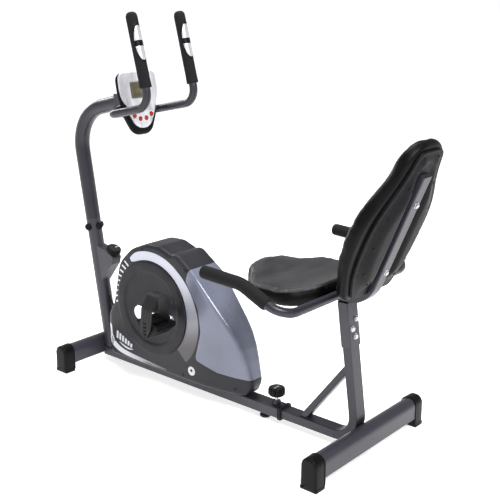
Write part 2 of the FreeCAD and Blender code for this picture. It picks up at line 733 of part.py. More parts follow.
def pedal_parts(side):
    """Pedal body and its strap on one side, tilted to their rest angle."""
    x = d.crankX - side * d.crankLength
    low, high = sorted((side * d.pedalIn, side * d.pedalOut))
    half, thick = d.pedalLong / 2, d.pedalThick / 2
    outline = [(-half, -thick + 4), (-half + 8, -thick), (half - 8, -thick), (half, -thick + 4),
               (half, thick), (-half, thick)]
    body = prism(rounded_wire(xz(outline), [4, 6, 6, 4, 5, 5]), low, high)
    for start in (-30.0, 14.0):
        body = body.cut(Part.makeBox(16, d.pedalOut - d.pedalIn - 24, 40, Vector(start, low + 12, -20)))
    body = body.cut(y_cylinder(0, 0, min(low, high) - 10, max(low, high) + 10, d.spindleR + 0.06))
    cap_low, cap_high = (low, low + 4) if side < 0 else (high - 4, high)
    body = body.fuse(y_cylinder(0, 0, cap_low, cap_high, d.spindleR + 3))
    inner, outer = side * (d.pedalIn - 2.5), side * (d.pedalOut + 3.0)
    middle = (inner + outer) / 2
    hoop = [(outer, 8.5), (outer + side * 4, 58), (middle, 104), (inner, 68), (inner, 8.5)]
    sunk = 2.5 * side
    room = [(outer - sunk, 7), (outer - sunk + side * 4, 57), (middle, 101), (inner + sunk, 67),
            (inner + sunk, 7)]
    loops = []
    for points in (hoop, room):
        wire = rounded_wire([Vector(-23.5, y, z) for y, z in points], [0, 30, 34, 30, 0])
        loops.append(Part.Face(wire).extrude(Vector(47, 0, 0)))
    strap = loops[0].cut(loops[1])
    place = Placement(Vector(x, 0, d.crankZ), Rotation(Vector(0, 1, 0), d.pedalTilt))
    body.Placement = place
    strap.Placement = place
    return feature(body), feature(strap)


for side, hand in ((-1, "left"), (1, "right")):
    piece("%s_crank" % hand, feature(crank_arm(side)))
    pedal, strap = pedal_parts(side)
    piece("%s_pedal" % hand, pedal)
    piece("%s_pedal_strap" % hand, strap)

hub_cap = crank_cylinder(-119.0, -113.0, 24.0)
hub_cap = hub_cap.makeFillet(3.0, [e for e in hub_cap.Edges if e.BoundBox.YMax < -118.9])
cap_near = feature(hub_cap)
piece("hub_caps", group(cap_near, mirrored(cap_near)))

pulley = crank_cylinder(BELT_LOW, BELT_HIGH, d.pulleyR)
for turn in range(5):
    a = math.radians(72 * turn)
    x, z = d.crankX + 72 * math.cos(a), d.crankZ + 72 * math.sin(a)
    pulley = pulley.cut(y_cylinder(x, z, 0, 40, 30.0))
piece("drive_pulley", feature(pulley.cut(crank_cylinder(0, 40, d.axleR))))

fly_centre = Vector(d.flyX, 0, d.flyZ)


def belt_loop(grow):
    """Outline of the belt round the drive pulley and the flywheel pulley."""
    big, small = d.pulleyR + grow, d.flyPulleyR + grow
    line = fly_centre - crank_centre
    heading = math.atan2(line.z, line.x)
    lean = math.acos((big - small) / line.Length)

    def at(centre, radius, angle):
        return centre + Vector(radius * math.cos(angle), 0, radius * math.sin(angle))

    above, below = heading + lean, heading - lean
    far = Part.Arc(at(crank_centre, big, above), at(crank_centre, big, heading + math.pi),
                   at(crank_centre, big, below)).toShape()
    near = Part.Arc(at(fly_centre, small, below), at(fly_centre, small, heading),
                    at(fly_centre, small, above)).toShape()
    low_run = Part.LineSegment(at(crank_centre, big, below), at(fly_centre, small, below)).toShape()
    top_run = Part.LineSegment(at(fly_centre, small, above), at(crank_centre, big, above)).toShape()
    return Part.Wire([far, low_run, near, top_run]), below


outer_loop, below_angle = belt_loop(d.beltGap + d.beltThick)
inner_loop, _ = belt_loop(d.beltGap)
belt = prism(outer_loop, BELT_LOW + 1, BELT_HIGH - 1).cut(prism(inner_loop, BELT_LOW, BELT_HIGH))
piece("drive_belt", feature(belt))

rim = y_cylinder(d.flyX, d.flyZ, STAY_LOW, STAY_HIGH, d.flyR)
rim = rim.cut(y_cylinder(d.flyX, d.flyZ, STAY_LOW - 1, STAY_LOW + 6, d.flyR - 22))
rim = rim.cut(y_cylinder(d.flyX, d.flyZ, STAY_HIGH - 6, STAY_HIGH + 1, d.flyR - 22))
hub = y_cylinder(d.flyX, d.flyZ, STAY_LOW - 6, BELT_LOW, 20.0)
fly_bore = y_cylinder(d.flyX, d.flyZ, -60, 60, 6.06)
piece("flywheel", feature(rim.fuse(hub).removeSplitter().cut(fly_bore)))
fly_pulley = y_cylinder(d.flyX, d.flyZ, BELT_LOW, BELT_HIGH, d.flyPulleyR)
piece("flywheel_pulley", feature(fly_pulley.cut(fly_bore)))
axle = y_cylinder(d.flyX, d.flyZ, FORK_NEAR - 8, FORK_FAR + 8, 6.0)
piece("flywheel_axle", feature(axle))

MAGNET_OPEN = 5.0
MAGNET_PIVOT = fly_centre + Vector(-112, 0, -6)
base_plate = Part.makeBox(150, FORK_FAR - FORK_NEAR + 8, 4, Vector(d.flyX - 128, FORK_NEAR - 4, RAIL_TOP))
fork = [Part.makeBox(36, 4, d.flyZ + 20 - RAIL_TOP, Vector(d.flyX - 18, low, RAIL_TOP))
        for low in (FORK_NEAR - 4, FORK_FAR)]
post_foot = Vector(MAGNET_PIVOT.x - 11, FORK_NEAR - 4, RAIL_TOP)
post = Part.makeBox(22, 4, MAGNET_PIVOT.z + 12 - RAIL_TOP, post_foot)
pin = y_cylinder(MAGNET_PIVOT.x, MAGNET_PIVOT.z, FORK_NEAR - 4, BELT_LOW - 2, 4.0)
fork_shape = base_plate.fuse(fork + [post, pin]).removeSplitter()
across = Vector(math.cos(below_angle), 0, math.sin(below_angle))
run_distance = d.pulleyR + d.beltGap * 2 + d.beltThick + d.idlerR
along = Vector(-across.z, 0, across.x)
IDLER = crank_centre + across * run_distance + along * 165.0
fork_shape = fork_shape.cut(y_cylinder(d.flyX, d.flyZ, -60, 60, 6.0))
piece("flywheel_fork", feature(fork_shape))

magnet_arm = y_cylinder(d.flyX, d.flyZ, -13, 9, d.flyR + 12)
magnet_arm = magnet_arm.cut(y_cylinder(d.flyX, d.flyZ, -14, 10, d.flyR + 5))
sector = prism(Part.makePolygon([fly_centre, fly_centre + Vector(-200, 0, -6),
                                 fly_centre + Vector(-200, 0, 200),
                                 fly_centre + Vector(-20, 0, 200), fly_centre]), -20, 20)
magnet_arm = magnet_arm.common(sector)
boss = y_cylinder(MAGNET_PIVOT.x, MAGNET_PIVOT.z, -13, 9, 9.0)
magnet_arm = magnet_arm.fuse(boss)
for turn in (118, 136, 154):
    magnet = Part.makeBox(22, 18, 4, Vector(-11, -11, d.flyR + 1.5))
    magnet.Placement = Placement(fly_centre, Rotation(Vector(0, 1, 0), 90 - turn))
    magnet_arm = magnet_arm.fuse(magnet)
magnet_arm = magnet_arm.cut(y_cylinder(MAGNET_PIVOT.x, MAGNET_PIVOT.z, -20, 20, 4.06))
magnet_arm = magnet_arm.removeSplitter()
magnet_arm.rotate(MAGNET_PIVOT, Vector(0, 1, 0), -MAGNET_OPEN)
piece("magnet_arm", feature(magnet_arm))

idler = y_cylinder(IDLER.x, IDLER.z, BELT_LOW, BELT_HIGH, d.idlerR)
idler_bore = y_cylinder(IDLER.x, IDLER.z, 0, 40, 5.06)
piece("idler_wheel", feature(idler.cut(idler_bore)))
arm_foot = Vector(d.flyX, 0, RAIL_TOP + 22)
arm_line = arm_foot - IDLER
lever = Part.makeBox(arm_line.Length, 3, 16, Vector(0, 0, -8))
lever.Placement = Placement(Vector(IDLER.x, FORK_FAR - 3, IDLER.z), Rotation(Vector(1, 0, 0), arm_line))
lever = lever.fuse([y_cylinder(IDLER.x, IDLER.z, FORK_FAR - 3, FORK_FAR, 8.0),
                    y_cylinder(arm_foot.x, arm_foot.z, FORK_FAR - 3, FORK_FAR, 8.0),
                    y_cylinder(IDLER.x, IDLER.z, BELT_LOW, FORK_FAR - 3, 5.0)])
piece("idler_arm", feature(lever.removeSplitter()))


# ---------------------------------------------------------------- housing

SHELL_OUTLINE = [(-500, d.shellLow), (-546, 96), (-545, 175), (-489, 242), (-454, 395), (-395, 452),
                 (-322, 482), (-262, 484), (-210, 466), (-184, 472), (-98, 412), (12, 290), (66, 232),
                 (100, 100), (76, d.shellLow)]
SHELL_RADII = [40, 40, 60, 70, 90, 90, 60, 40, 14, 30, 60, 200, 260, 40, 20]
SHELL_PLAN = [(-547, -16), (-547, 16), (-512, d.shellHalf), (-70, d.shellHalf), (50, 46), (102, 26),
              (102, -26), (50, -46), (-70, -d.shellHalf), (-512, -d.shellHalf)]
SHELL_PLAN_RADII = [14, 14, 34, 600, 350, 10, 10, 350, 600, 34]


def housing_solid(inset):
    """The whole housing as a solid, shrunk by an inset."""
    side = rounded_wire(xz(SHELL_OUTLINE), SHELL_RADII)
    plan = rounded_wire([Vector(x, y, 0) for x, y in SHELL_PLAN], SHELL_PLAN_RADII)
    if inset:
        side = side.makeOffset2D(-inset)
        plan = plan.makeOffset2D(-inset)
    solid = prism(side, -100, 100).common(Part.Face(plan).extrude(Vector(0, 0, 600)))
    return solid.removeSplitter()


hull = housing_solid(0.0)
room = housing_solid(d.shellSkin)
INSERT_OUTLINE = [(-116, 460), (-142, 396), (-92, 315), (-81, 239), (-106, 142), (-19, 119), (140, 112),
                  (140, 300), (20, 470)]
insert_way = prism(rounded_wire(xz(INSERT_OUTLINE), [0, 14, 60, 60, 14, 40, 0, 0, 0]), -100, 100)
skin = hull.cut(room)
SHELL_SCREWS = [(-335, 462), (-160, 75), (-488, 112)]
ways = [crank_cylinder(-80, 80, 28.0)]
for x, z in SHELL_SCREWS:
    ways.append(y_cylinder(x, z, -80, 80, 2.5))
rail_slot = Part.makeBox(370, FORK_FAR - FORK_NEAR + 18, 8, Vector(-327, FORK_NEAR - 9, d.shellLow - 2))
shell = skin.cut(insert_way).cut(ways + [rail_slot])
SPLIT = 0.15


def housing_half(side):
    """One half of the housing, with its lug on the rail."""
    low, high = (SPLIT, 100.0) if side > 0 else (-100.0, -SPLIT)
    return shell.common(Part.makeBox(800, high - low, 600, Vector(-600, low, 0)))


for side, hand in ((-1, "left"), (1, "right")):
    half = feature(housing_half(side))
    piece("%s_housing" % hand, cut(half, cable_way))
insert = skin.common(insert_way.makeOffsetShape(-0.2, 0.01))
near = feature(insert.common(Part.makeBox(800, 100 - SPLIT, 600, Vector(-600, -100, 0))))
piece("rear_inserts", group(near, mirrored(near)))
screws = []
for x, z in SHELL_SCREWS:
    head = y_cylinder(x, z, -d.shellHalf - 1.2, -d.shellHalf, 5.0)
    screws.append(head.fuse(y_cylinder(x, z, -d.shellHalf, -d.shellHalf + 14, 2.5)))
screw_near = feature(Part.makeCompound(screws))
piece("housing_screws", group(screw_near, mirrored(screw_near)))


# ---------------------------------------------------------------- rear frame

POST_TOP = Vector(d.postTopX, 0, d.postTopZ)
POST_FOOT = Vector(d.postFootX, 0, SLIDE_MID)
POST_UP = (POST_TOP - POST_FOOT).normalize()


def rounded_section(wide, tall, corner, centre, heading):
    """Rounded rectangle across a heading of the XZ plane: wide along Y, tall across it."""
    up = Vector(-heading.z, 0, heading.x)
    side = Vector(0, 1, 0)
    corners = [(-wide, -tall), (wide, -tall), (wide, tall), (-wide, tall)]
    points = [centre + side * (y / 2) + up * (z / 2) for y, z in corners]
    return rounded_wire(points, [corner] * 4)


def box_pipe(path, wide, tall, corner, wall=0.0):
    """Rounded rectangular tube along a path of the XZ plane; no wall makes a solid bar."""
    start = path.OrderedVertexes[0].Point
    heading = (path.OrderedVertexes[1].Point - start).normalize()
    section = rounded_section(wide, tall, corner, start, heading)
    bar = path.makePipeShell([section], True, True)
    if not wall:
        return bar
    inner = rounded_section(wide - 2 * wall, tall - 2 * wall, max(corner - wall, 0.5), start, heading)
    return bar.cut(path.makePipeShell([inner], True, True))


slide_path = rounded_wire([Vector(d.slideFront, 0, SLIDE_MID), POST_FOOT, POST_TOP - POST_UP * 6],
                          [d.postBend], closed=False)
slide_bar = box_pipe(slide_path, d.slideWide, d.slideTall, 2.5)
slide_tube = box_pipe(slide_path, d.slideWide, d.slideTall, 2.5, d.tubeWall)
brace_path = Part.Wire(Part.LineSegment(Vector(272, 0, 34), Vector(452, 0, 268)).toShape())
brace = box_pipe(brace_path, 30.0, 20.0, 3.0)
below_slide = Part.makeBox(900, 200, SLIDE_MID + d.slideTall / 2, Vector(-200, -100, 0))
behind_post = Part.makeBox(200, 200, 600, Vector(0, -100, -60))
behind_post.Placement = Placement(POST_FOOT, turned(tuple(POST_UP)))
brace = brace.cut([below_slide, slide_bar, behind_post])
piece("rear_stabilizer", cut(stabilizer(d.rearStabX, d.rearStabHalf - 6.5), feature(slide_bar)))

SLEEVE_REAR = Vector(POST_UP.z, 0, -POST_UP.x)
SLEEVE_OUT = d.slideTall / 2 + d.sleeveWall
sleeve_start = POST_FOOT + POST_UP * ((d.sleeveLow - SLIDE_MID) / POST_UP.z)
sleeve_path = Part.Wire(Part.LineSegment(sleeve_start, sleeve_start + POST_UP * 180).toShape())
sleeve_wide = d.slideWide + 2 * d.sleeveWall
sleeve_tall = d.slideTall + 2 * d.sleeveWall
sleeve = box_pipe(sleeve_path, sleeve_wide, sleeve_tall, 4.0, d.sleeveWall)
BAR_BOTTOM = d.seatBarZ - d.seatBarThick / 2
sleeve = sleeve.cut(Part.makeBox(400, 200, 300, Vector(250, -100, BAR_BOTTOM)))
sleeve_rings = []
for height, y in ((340.0, 0.0), (364.0, -11.0), (388.0, 11.0)):
    spot = POST_FOOT + POST_UP * ((height - SLIDE_MID) / POST_UP.z) + SLEEVE_REAR * SLEEVE_OUT
    sleeve_rings.append((spot + Vector(0, y, 0), Vector(SLEEVE_REAR)))
sleeve_holes = holes(sleeve_rings, 4.0, 12.0)
piece("sliding_rail", cut(feature(slide_tube.fuse(brace).removeSplitter()), sleeve_holes))
piece("seat_sleeve", cut(feature(sleeve), sleeve_holes))

# seat bar: runs back under the seat, then up behind the backrest
TILT = math.radians(d.backTilt)
BACK_UP = Vector(math.sin(TILT), 0, math.cos(TILT))
BACK_FRONT = Vector(-math.cos(TILT), 0, math.sin(TILT))
BAR_CORNER = Vector(d.seatBarBendX, 0, d.seatBarZ)
bar_top = BAR_CORNER + BACK_UP * d.backBarTop
seat_bar_path = rounded_wire([Vector(d.seatBarFront, 0, d.seatBarZ), BAR_CORNER, bar_top],
                             [d.seatBend], closed=False)
seat_bar = box_pipe(seat_bar_path, d.seatBarWide, d.seatBarThick, 4.0, d.tubeWall)
plug_lengths = [(bar_top, BACK_UP), (Vector(d.seatBarFront, 0, d.seatBarZ), HORIZON * -1)]
for end, heading in plug_lengths:
    path = Part.Wire(Part.LineSegment(end - heading * 3, end).toShape())
    seat_bar = seat_bar.fuse(box_pipe(path, d.seatBarWide - 1, d.seatBarThick - 1, 3.5))
back_rings = [(BAR_CORNER + BACK_UP * up - BACK_FRONT * (d.seatBarThick / 2), BACK_FRONT * -1)
              for up in (106.0, 316.0)]
back_holes = holes(back_rings, 4.0, d.seatBarThick + 20.0)
saddle = Part.makeBox(36, 34, d.handleZ - BAR_BOTTOM - d.seatBarThick + 1,
                      Vector(d.handleX - 18, -17, BAR_BOTTOM + d.seatBarThick - 1))
seat_bolts = [hex_bolt(point, tuple(out), 9.0, washer=1.5) for point, out in sleeve_rings]
seat_bolts += [hex_bolt(point, tuple(out), d.seatBarThick + 4.0, washer=1.5) for point, out in back_rings]
piece("seat_bolts", feature(Part.makeCompound(seat_bolts)))

# side handles
handle_route = both_sides([(d.handleTipX, d.handleHalf, d.handleTipZ), (296, d.handleHalf, 535),
                           (d.handleX, d.handleHalf, d.handleZ)])
handle_path = rounded_wire(handle_route, [110, 58, 58, 110], closed=False)
piece("side_handles", swept(handle_path, "barR"))
bar_cuts = group(back_holes, swept(handle_path, "barR", hollow=False))
piece("seat_bar", cut(feature(seat_bar.fuse(saddle).removeSplitter()), bar_cuts))

knee = handle_route[1]
tube_line = (handle_route[2] - knee).normalize()
tip_line = (handle_route[0] - knee).normalize()
grip_route = [knee + tip_line * (knee.distanceToPoint(handle_route[0]) + 6), knee, knee + tube_line * 92.0]
grip_path = rounded_wire(grip_route, [110], closed=False)
side_grip = cut(swept(grip_path, "gripR", hollow=False), swept(handle_path, "barR", hollow=False))
piece("side_grips", group(side_grip, mirrored(side_grip)))

# seat
SEAT_SIDE = [(d.seatFront, 62), (d.seatFront + 105, d.seatHalf), (d.seatRear - 70, d.seatHalf),
             (d.seatRear, 118)]
SEAT_PLAN = [(d.seatFront, -62)] + SEAT_SIDE + [(x, -y) for x, y in reversed(SEAT_SIDE[1:])]
SEAT_CORNERS = [50, 50, 70, 60, 50, 50, 60, 70]


def seat_slab(inset, low, high):
    wire = rounded_wire([Vector(x, y, 0) for x, y in SEAT_PLAN], SEAT_CORNERS)
    if inset:
        wire = wire.makeOffset2D(-inset)
    slab_solid = Part.Face(wire).extrude(Vector(0, 0, high - low))
    slab_solid.translate(Vector(0, 0, low))
    return slab_solid


PAN_LOW = BAR_BOTTOM + d.seatBarThick
piece("seat_pan", feature(seat_slab(8.0, PAN_LOW, PAN_LOW + d.panThick)))
cushion = seat_slab(0.0, PAN_LOW + d.panThick, d.seatTop)
cushion = cushion.makeFillet(14.0, [e for e in cushion.Edges if e.BoundBox.ZMin > d.seatTop - 0.01])
piece("seat_cushion", feature(cushion))

# backrest: slightly bowed about an upright axis in front of the rider
BACK_BOW = 2500.0
BACK_FACE = 3.0


def on_back(shape):
    """Place a shape built with +Z up the backrest and +X towards its rear."""
    shape.Placement = Placement(BAR_CORNER, turned(tuple(BACK_UP)))
    return shape


def bowed_slab(front, rear, front_bow, outline, radii):
    """Band between two bowed faces, trimmed to an outline of (y, z) pairs."""
    band = Part.makeCylinder(BACK_BOW, 620, Vector(-rear - BACK_BOW, 0, -60))
    band = band.cut(Part.makeCylinder(front_bow, 640, Vector(-front - front_bow, 0, -70)))
    trim = Part.Face(rounded_wire([Vector(-300, y, z) for y, z in outline], radii)).extrude(Vector(400, 0, 0))
    return band.common(trim)


def both_edges(points):
    """A closed outline from the points of its +Y edge, bottom to top."""
    return [(y, z) for y, z in points] + [(-y, z) for y, z in reversed(points)]


SHELL_EDGE = both_edges([(92, 30), (140, 120), (142, 270), (60, 400), (44, 468)])
CUSHION_EDGE = both_edges([(112, 16), (172, 150), (174, 268), (84, 400), (58, 479)])
back_shell = bowed_slab(BACK_FACE + d.backShellThick, BACK_FACE, BACK_BOW, SHELL_EDGE,
                        [20, 60, 90, 90, 25, 25, 90, 90, 60, 20])
SHELL_BOLTS = (106, 316)
shell_holes = Part.makeCompound([Part.makeCylinder(4.0, 60, Vector(-40, 0, up), HORIZON)
                                 for up in SHELL_BOLTS])
bar_corner = Vector(-d.seatBarThick / 2, -d.seatBarWide / 2, 0)
bar_channel = Part.makeBox(d.seatBarThick, d.seatBarWide, 420, bar_corner)
bar_notch = Part.makeBox(30, 42, 68, Vector(-26, -21, 0))
piece("back_shell", feature(on_back(back_shell.cut([shell_holes, bar_channel, bar_notch]))))
cushion_rear = BACK_FACE + d.backShellThick
back_cushion = bowed_slab(cushion_rear + d.backThick, cushion_rear, 2500.0, CUSHION_EDGE,
                          [40, 90, 90, 120, 48, 48, 120, 90, 90, 40])
bolt_room = Part.makeCompound([Part.makeCylinder(4.4, 30, Vector(-40, 0, up), HORIZON) for up in SHELL_BOLTS])
piece("back_cushion", feature(on_back(back_cushion.cut([bolt_room, bar_notch]))))


# ---------------------------------------------------------------- write the pieces

doc.recompute()
for obj in doc.Objects:
    if "Invalid" in obj.State or "Error" in obj.State:
        raise RuntimeError("%s failed: %s" % (obj.Label, obj.State))
for label, obj in pieces.items():
    if obj.Shape.isNull() or not obj.Shape.isValid():
        raise RuntimeError("%s has no valid shape" % label)
    centred = obj.Shape.copy()
    centred.translate(Vector(d.originShift, 0, 0))
    centred.exportStep("parts/%s.step" % label)
print(len(pieces), "pieces written")
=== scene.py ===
import json
import math

import bmesh
import bpy
import numpy as np
from mathutils import Matrix, Quaternion, Vector


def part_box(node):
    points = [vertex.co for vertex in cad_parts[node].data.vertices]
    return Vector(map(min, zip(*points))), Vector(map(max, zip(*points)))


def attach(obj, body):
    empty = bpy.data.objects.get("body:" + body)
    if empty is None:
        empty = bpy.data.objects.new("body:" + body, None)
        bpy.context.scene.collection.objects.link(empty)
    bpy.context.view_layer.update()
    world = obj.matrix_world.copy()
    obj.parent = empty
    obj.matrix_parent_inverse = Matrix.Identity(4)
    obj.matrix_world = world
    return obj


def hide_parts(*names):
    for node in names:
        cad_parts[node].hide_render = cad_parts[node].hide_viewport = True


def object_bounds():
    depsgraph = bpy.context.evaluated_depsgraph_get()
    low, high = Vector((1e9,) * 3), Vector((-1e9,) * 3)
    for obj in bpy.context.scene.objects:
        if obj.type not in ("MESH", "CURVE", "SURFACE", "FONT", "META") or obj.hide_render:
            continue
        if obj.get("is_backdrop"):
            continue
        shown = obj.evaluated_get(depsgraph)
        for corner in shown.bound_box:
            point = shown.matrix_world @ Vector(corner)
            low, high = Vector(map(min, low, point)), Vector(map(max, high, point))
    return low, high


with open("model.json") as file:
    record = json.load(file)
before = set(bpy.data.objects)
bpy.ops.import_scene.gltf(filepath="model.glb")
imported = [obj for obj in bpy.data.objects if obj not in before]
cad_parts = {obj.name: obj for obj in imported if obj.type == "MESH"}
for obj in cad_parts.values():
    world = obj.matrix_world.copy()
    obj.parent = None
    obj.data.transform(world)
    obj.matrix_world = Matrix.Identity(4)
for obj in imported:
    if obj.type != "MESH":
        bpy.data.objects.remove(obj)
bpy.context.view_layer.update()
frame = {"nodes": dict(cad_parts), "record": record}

# Shapes are drawn in millimetres, X, Y and Z as in the frame, with the frame's origin at x = -24.
MM = 0.001
ORIGIN_SHIFT = 24.0
WELD = 2e-5             # metres; closes the slivers that a boolean leaves
UP = (0, 0, 1)
QUARTER, TURN = math.pi / 2, 2 * math.pi
scene = bpy.context.scene


def at(x, y, z):
    """A drawing point in the frame, in metres."""
    return Vector(((x + ORIGIN_SHIFT) * MM, y * MM, z * MM))


def add_object(name, data):
    obj = bpy.data.objects.new(name, data)
    scene.collection.objects.link(obj)
    return obj


# ---- materials

def feed(tree, socket, value):
    """Give a shader input a value, or link it to another node's output."""
    if isinstance(value, bpy.types.NodeSocket):
        tree.links.new(value, socket)
    else:
        socket.default_value = value


def node(tree, kind, output, inputs=(), **settings):
    """Add a shader node and return one of its outputs."""
    made = tree.nodes.new("ShaderNode" + kind)
    for key, value in settings.items():
        setattr(made, key, value)
    for key, value in dict(inputs).items():
        feed(tree, made.inputs[key], value)
    return made.outputs[output]


def shader(name, colour, rough, metallic=0.0, mottle=0.12, mottle_scale=9.0, grain=700.0,
           depth=0.05, rough_spread=0.06, coat=0.0, cells=0.0, cell_depth=0.3, streak=None,
           wear=0.0, specular=0.5):
    """Procedural material: cloudy colour, varied roughness, fine grain, and optional leather cells,
    brushed streaks and lighter wear on sharp edges."""
    mat = bpy.data.materials.new(name)
    mat.use_nodes = True
    tree = mat.node_tree
    place = node(tree, "TexCoord", "Object")
    source = node(tree, "Mapping", "Vector", {"Vector": place, "Scale": streak}) if streak else place
    cloud = node(tree, "TexNoise", "Fac", {"Vector": source, "Scale": mottle_scale, "Detail": 4.0})
    fine = node(tree, "TexNoise", "Fac", {"Vector": source, "Scale": grain, "Detail": 3.0})
    base = node(tree, "ValToRGB", "Color", {"Fac": cloud})
    ramp = base.node.color_ramp.elements
    for element, position, share in zip(ramp, (0.3, 0.7), (1 - mottle, 1 + mottle)):
        element.position = position
        element.color = [min(1, c * share) for c in colour] + [1]
    if wear:
        bent = node(tree, "NewGeometry", "Pointiness")
        edge = node(tree, "MapRange", "Result",
                    {"Value": bent, "From Min": 0.53, "From Max": 0.62, "To Max": wear})
        worn = [min(1, c * 2.2 + 0.05) for c in colour] + [1]
        base = node(tree, "MixRGB", "Color", {"Fac": edge, "Color1": base, "Color2": worn})
    dull = node(tree, "MapRange", "Result", {"Value": cloud, "To Min": max(0.02, rough - rough_spread),
                                             "To Max": rough + rough_spread})
    normal = node(tree, "Bump", "Normal", {"Strength": depth, "Distance": 0.001, "Height": fine})
    if cells:
        pores = node(tree, "TexVoronoi", "Distance", {"Scale": cells, "Vector": place},
                     feature="DISTANCE_TO_EDGE")
        normal = node(tree, "Bump", "Normal", {"Strength": cell_depth, "Distance": 0.0008,
                                               "Height": pores, "Normal": normal})
    bsdf = tree.nodes["Principled BSDF"]
    for key, value in {"Base Color": base, "Roughness": dull, "Normal": normal, "Metallic": metallic,
                       "Specular IOR Level": specular, "Coat Weight": coat,
                       "Coat Roughness": 0.12}.items():
        feed(tree, bsdf.inputs[key], value)
    return mat


POWDER = shader("powder_coat", (0.0150, 0.0142, 0.0225), 0.34, mottle=0.20, grain=1500,
                depth=0.18, wear=0.25, coat=0.06, specular=0.40)
SHELL = shader("moulded_charcoal", (0.0165, 0.0163, 0.0210), 0.42, mottle=0.14, grain=1300,
               depth=0.25, wear=0.10, specular=0.28)
DISC = shader("disc_charcoal", (0.0175, 0.0168, 0.0210), 0.40, mottle=0.30, mottle_scale=22,
              grain=1100, depth=0.18, wear=0.10, specular=0.17)
BLACK = shader("black_plastic", (0.0030, 0.0030, 0.0034), 0.40, mottle=0.25, grain=1000,
               depth=0.18, wear=0.2, specular=0.12)
INSERT = shader("blue_grey_metallic", (0.150, 0.162, 0.218), 0.36, metallic=0.25, mottle=0.14,
                mottle_scale=7, grain=2600, depth=0.08, coat=0.3, wear=0.15)
SILVER = shader("silver_paint", (0.58, 0.58, 0.62), 0.30, metallic=0.20, mottle=0.34,
                mottle_scale=34, grain=900, depth=0.10, coat=0.3, streak=(1, 1, 0.25))
STRIPE = shader("pearl_film", (0.62, 0.63, 0.70), 0.32, metallic=0.1, mottle=0.05, grain=2200,
                coat=0.2)
CHROME = shader("chrome", (0.72, 0.72, 0.74), 0.10, metallic=1.0, mottle=0.04, grain=900,
                depth=0.03, rough_spread=0.04)
STEEL = shader("zinc_steel", (0.60, 0.60, 0.62), 0.28, metallic=1.0, mottle=0.08, grain=900,
               depth=0.08, streak=(1, 1, 6), rough_spread=0.08)
IRON = shader("cast_iron", (0.10, 0.10, 0.105), 0.55, metallic=0.7, mottle=0.2, grain=500,
              depth=0.3)
FOAM = shader("foam_grip", (0.0070, 0.0070, 0.0078), 0.80, mottle=0.18, mottle_scale=40,
              grain=420, depth=0.45, cells=1500, specular=0.22)
RUBBER = shader("rubber", (0.010, 0.010, 0.011), 0.55, mottle=0.15, grain=800, depth=0.25,
                specular=0.28)
VINYL = shader("vinyl_side", (0.0020, 0.0020, 0.0024), 0.42, mottle=0.14, mottle_scale=14,
               grain=260, depth=0.14, cells=620, cell_depth=0.22, specular=0.11)
VINYL_TOP = shader("vinyl_top", (0.022, 0.022, 0.0245), 0.44, mottle=0.55, mottle_scale=20,
                   grain=200, depth=0.35, cells=560, cell_depth=0.4, specular=0.30,
                   streak=(1, 0.5, 1))
REAR_SHELL = shader("backrest_plastic", (0.0050, 0.0050, 0.0060), 0.45, mottle=0.35,
                    mottle_scale=16, grain=1300, depth=0.30, wear=0.15, specular=0.10)
RED = shader("red_button", (0.27, 0.006, 0.012), 0.28, mottle=0.06, grain=900, coat=0.3)
LENS = shader("display_lens", (0.100, 0.092, 0.055), 0.16, mottle=0.05, grain=500, depth=0.02,
              coat=0.3)
INK = shader("display_ink", (0.045, 0.041, 0.026), 0.4, mottle=0.05, grain=500, depth=0.02)
PALE = shader("pale_print", (0.62, 0.64, 0.61), 0.45, mottle=0.06, grain=900)
GREEN = shader("board_green", (0.02, 0.12, 0.05), 0.4, mottle=0.15, depth=0.1)
PLATE = shader("pulse_steel", (0.70, 0.70, 0.74), 0.30, metallic=0.7, mottle=0.05, grain=500,
               depth=0.02)

SLOT_LOOK = {"frame": POWDER, "bright": STEEL, "chrome": CHROME, "shell": SHELL, "black": BLACK,
             "insert": INSERT, "silver": SILVER, "lens": LENS, "red": RED, "foam": FOAM,
             "rubber": RUBBER, "vinyl": VINYL, "iron": IRON, "board": GREEN, "cable": RUBBER}
PAINTED_BRACKETS = ("handlebar_clamp", "tension_bracket")
slot_of = {row["node"]: row["material_slot"] for row in frame["record"]["subparts"]}
for node_name, node_object in frame["nodes"].items():
    look = POWDER if node_name in PAINTED_BRACKETS else SLOT_LOOK[slot_of[node_name]]
    node_object.data.materials.clear()
    node_object.data.materials.append(look)


# ---- outlines

def next_pairs(loop):
    """Each item of a closed loop with the one after it."""
    return zip(loop, loop[1:] + loop[:1])


def polar(centre, radius, degrees):
    a = math.radians(degrees)
    return Vector((centre[0] + radius * math.cos(a), centre[1] + radius * math.sin(a)))


def arc(centre, radius, start, end, count):
    """Points on a circle between two angles in degrees, both included."""
    return [polar(centre, radius, start + (end - start) * k / (count - 1)) for k in range(count)]


def circle(centre, radius, count):
    return arc(centre, radius, 0, 360, count + 1)[:-1]


def rounded(points, radii, step=8.0):
    """Closed outline of (a, b) pairs with tangent arcs at its corners, as a list of 2-D points."""
    out = []
    count = len(points)
    for i, radius in enumerate(radii):
        here = Vector(points[i])
        back = (Vector(points[i - 1]) - here).normalized()
        ahead = (Vector(points[(i + 1) % count]) - here).normalized()
        half = back.angle(ahead) / 2
        if not radius or half > QUARTER - 0.01:
            out.append(here)
            continue
        reach = radius / math.tan(half)
        centre = here + (back + ahead).normalized() * (radius / math.sin(half))
        start, end = here + back * reach - centre, here + ahead * reach - centre
        turn = -start.angle_signed(end)
        pieces = max(2, int(abs(math.degrees(turn)) / step))
        for k in range(pieces + 1):
            c, s = math.cos(turn * k / pieces), math.sin(turn * k / pieces)
            out.append(centre + Vector((start.x * c - start.y * s, start.x * s + start.y * c)))
    return out


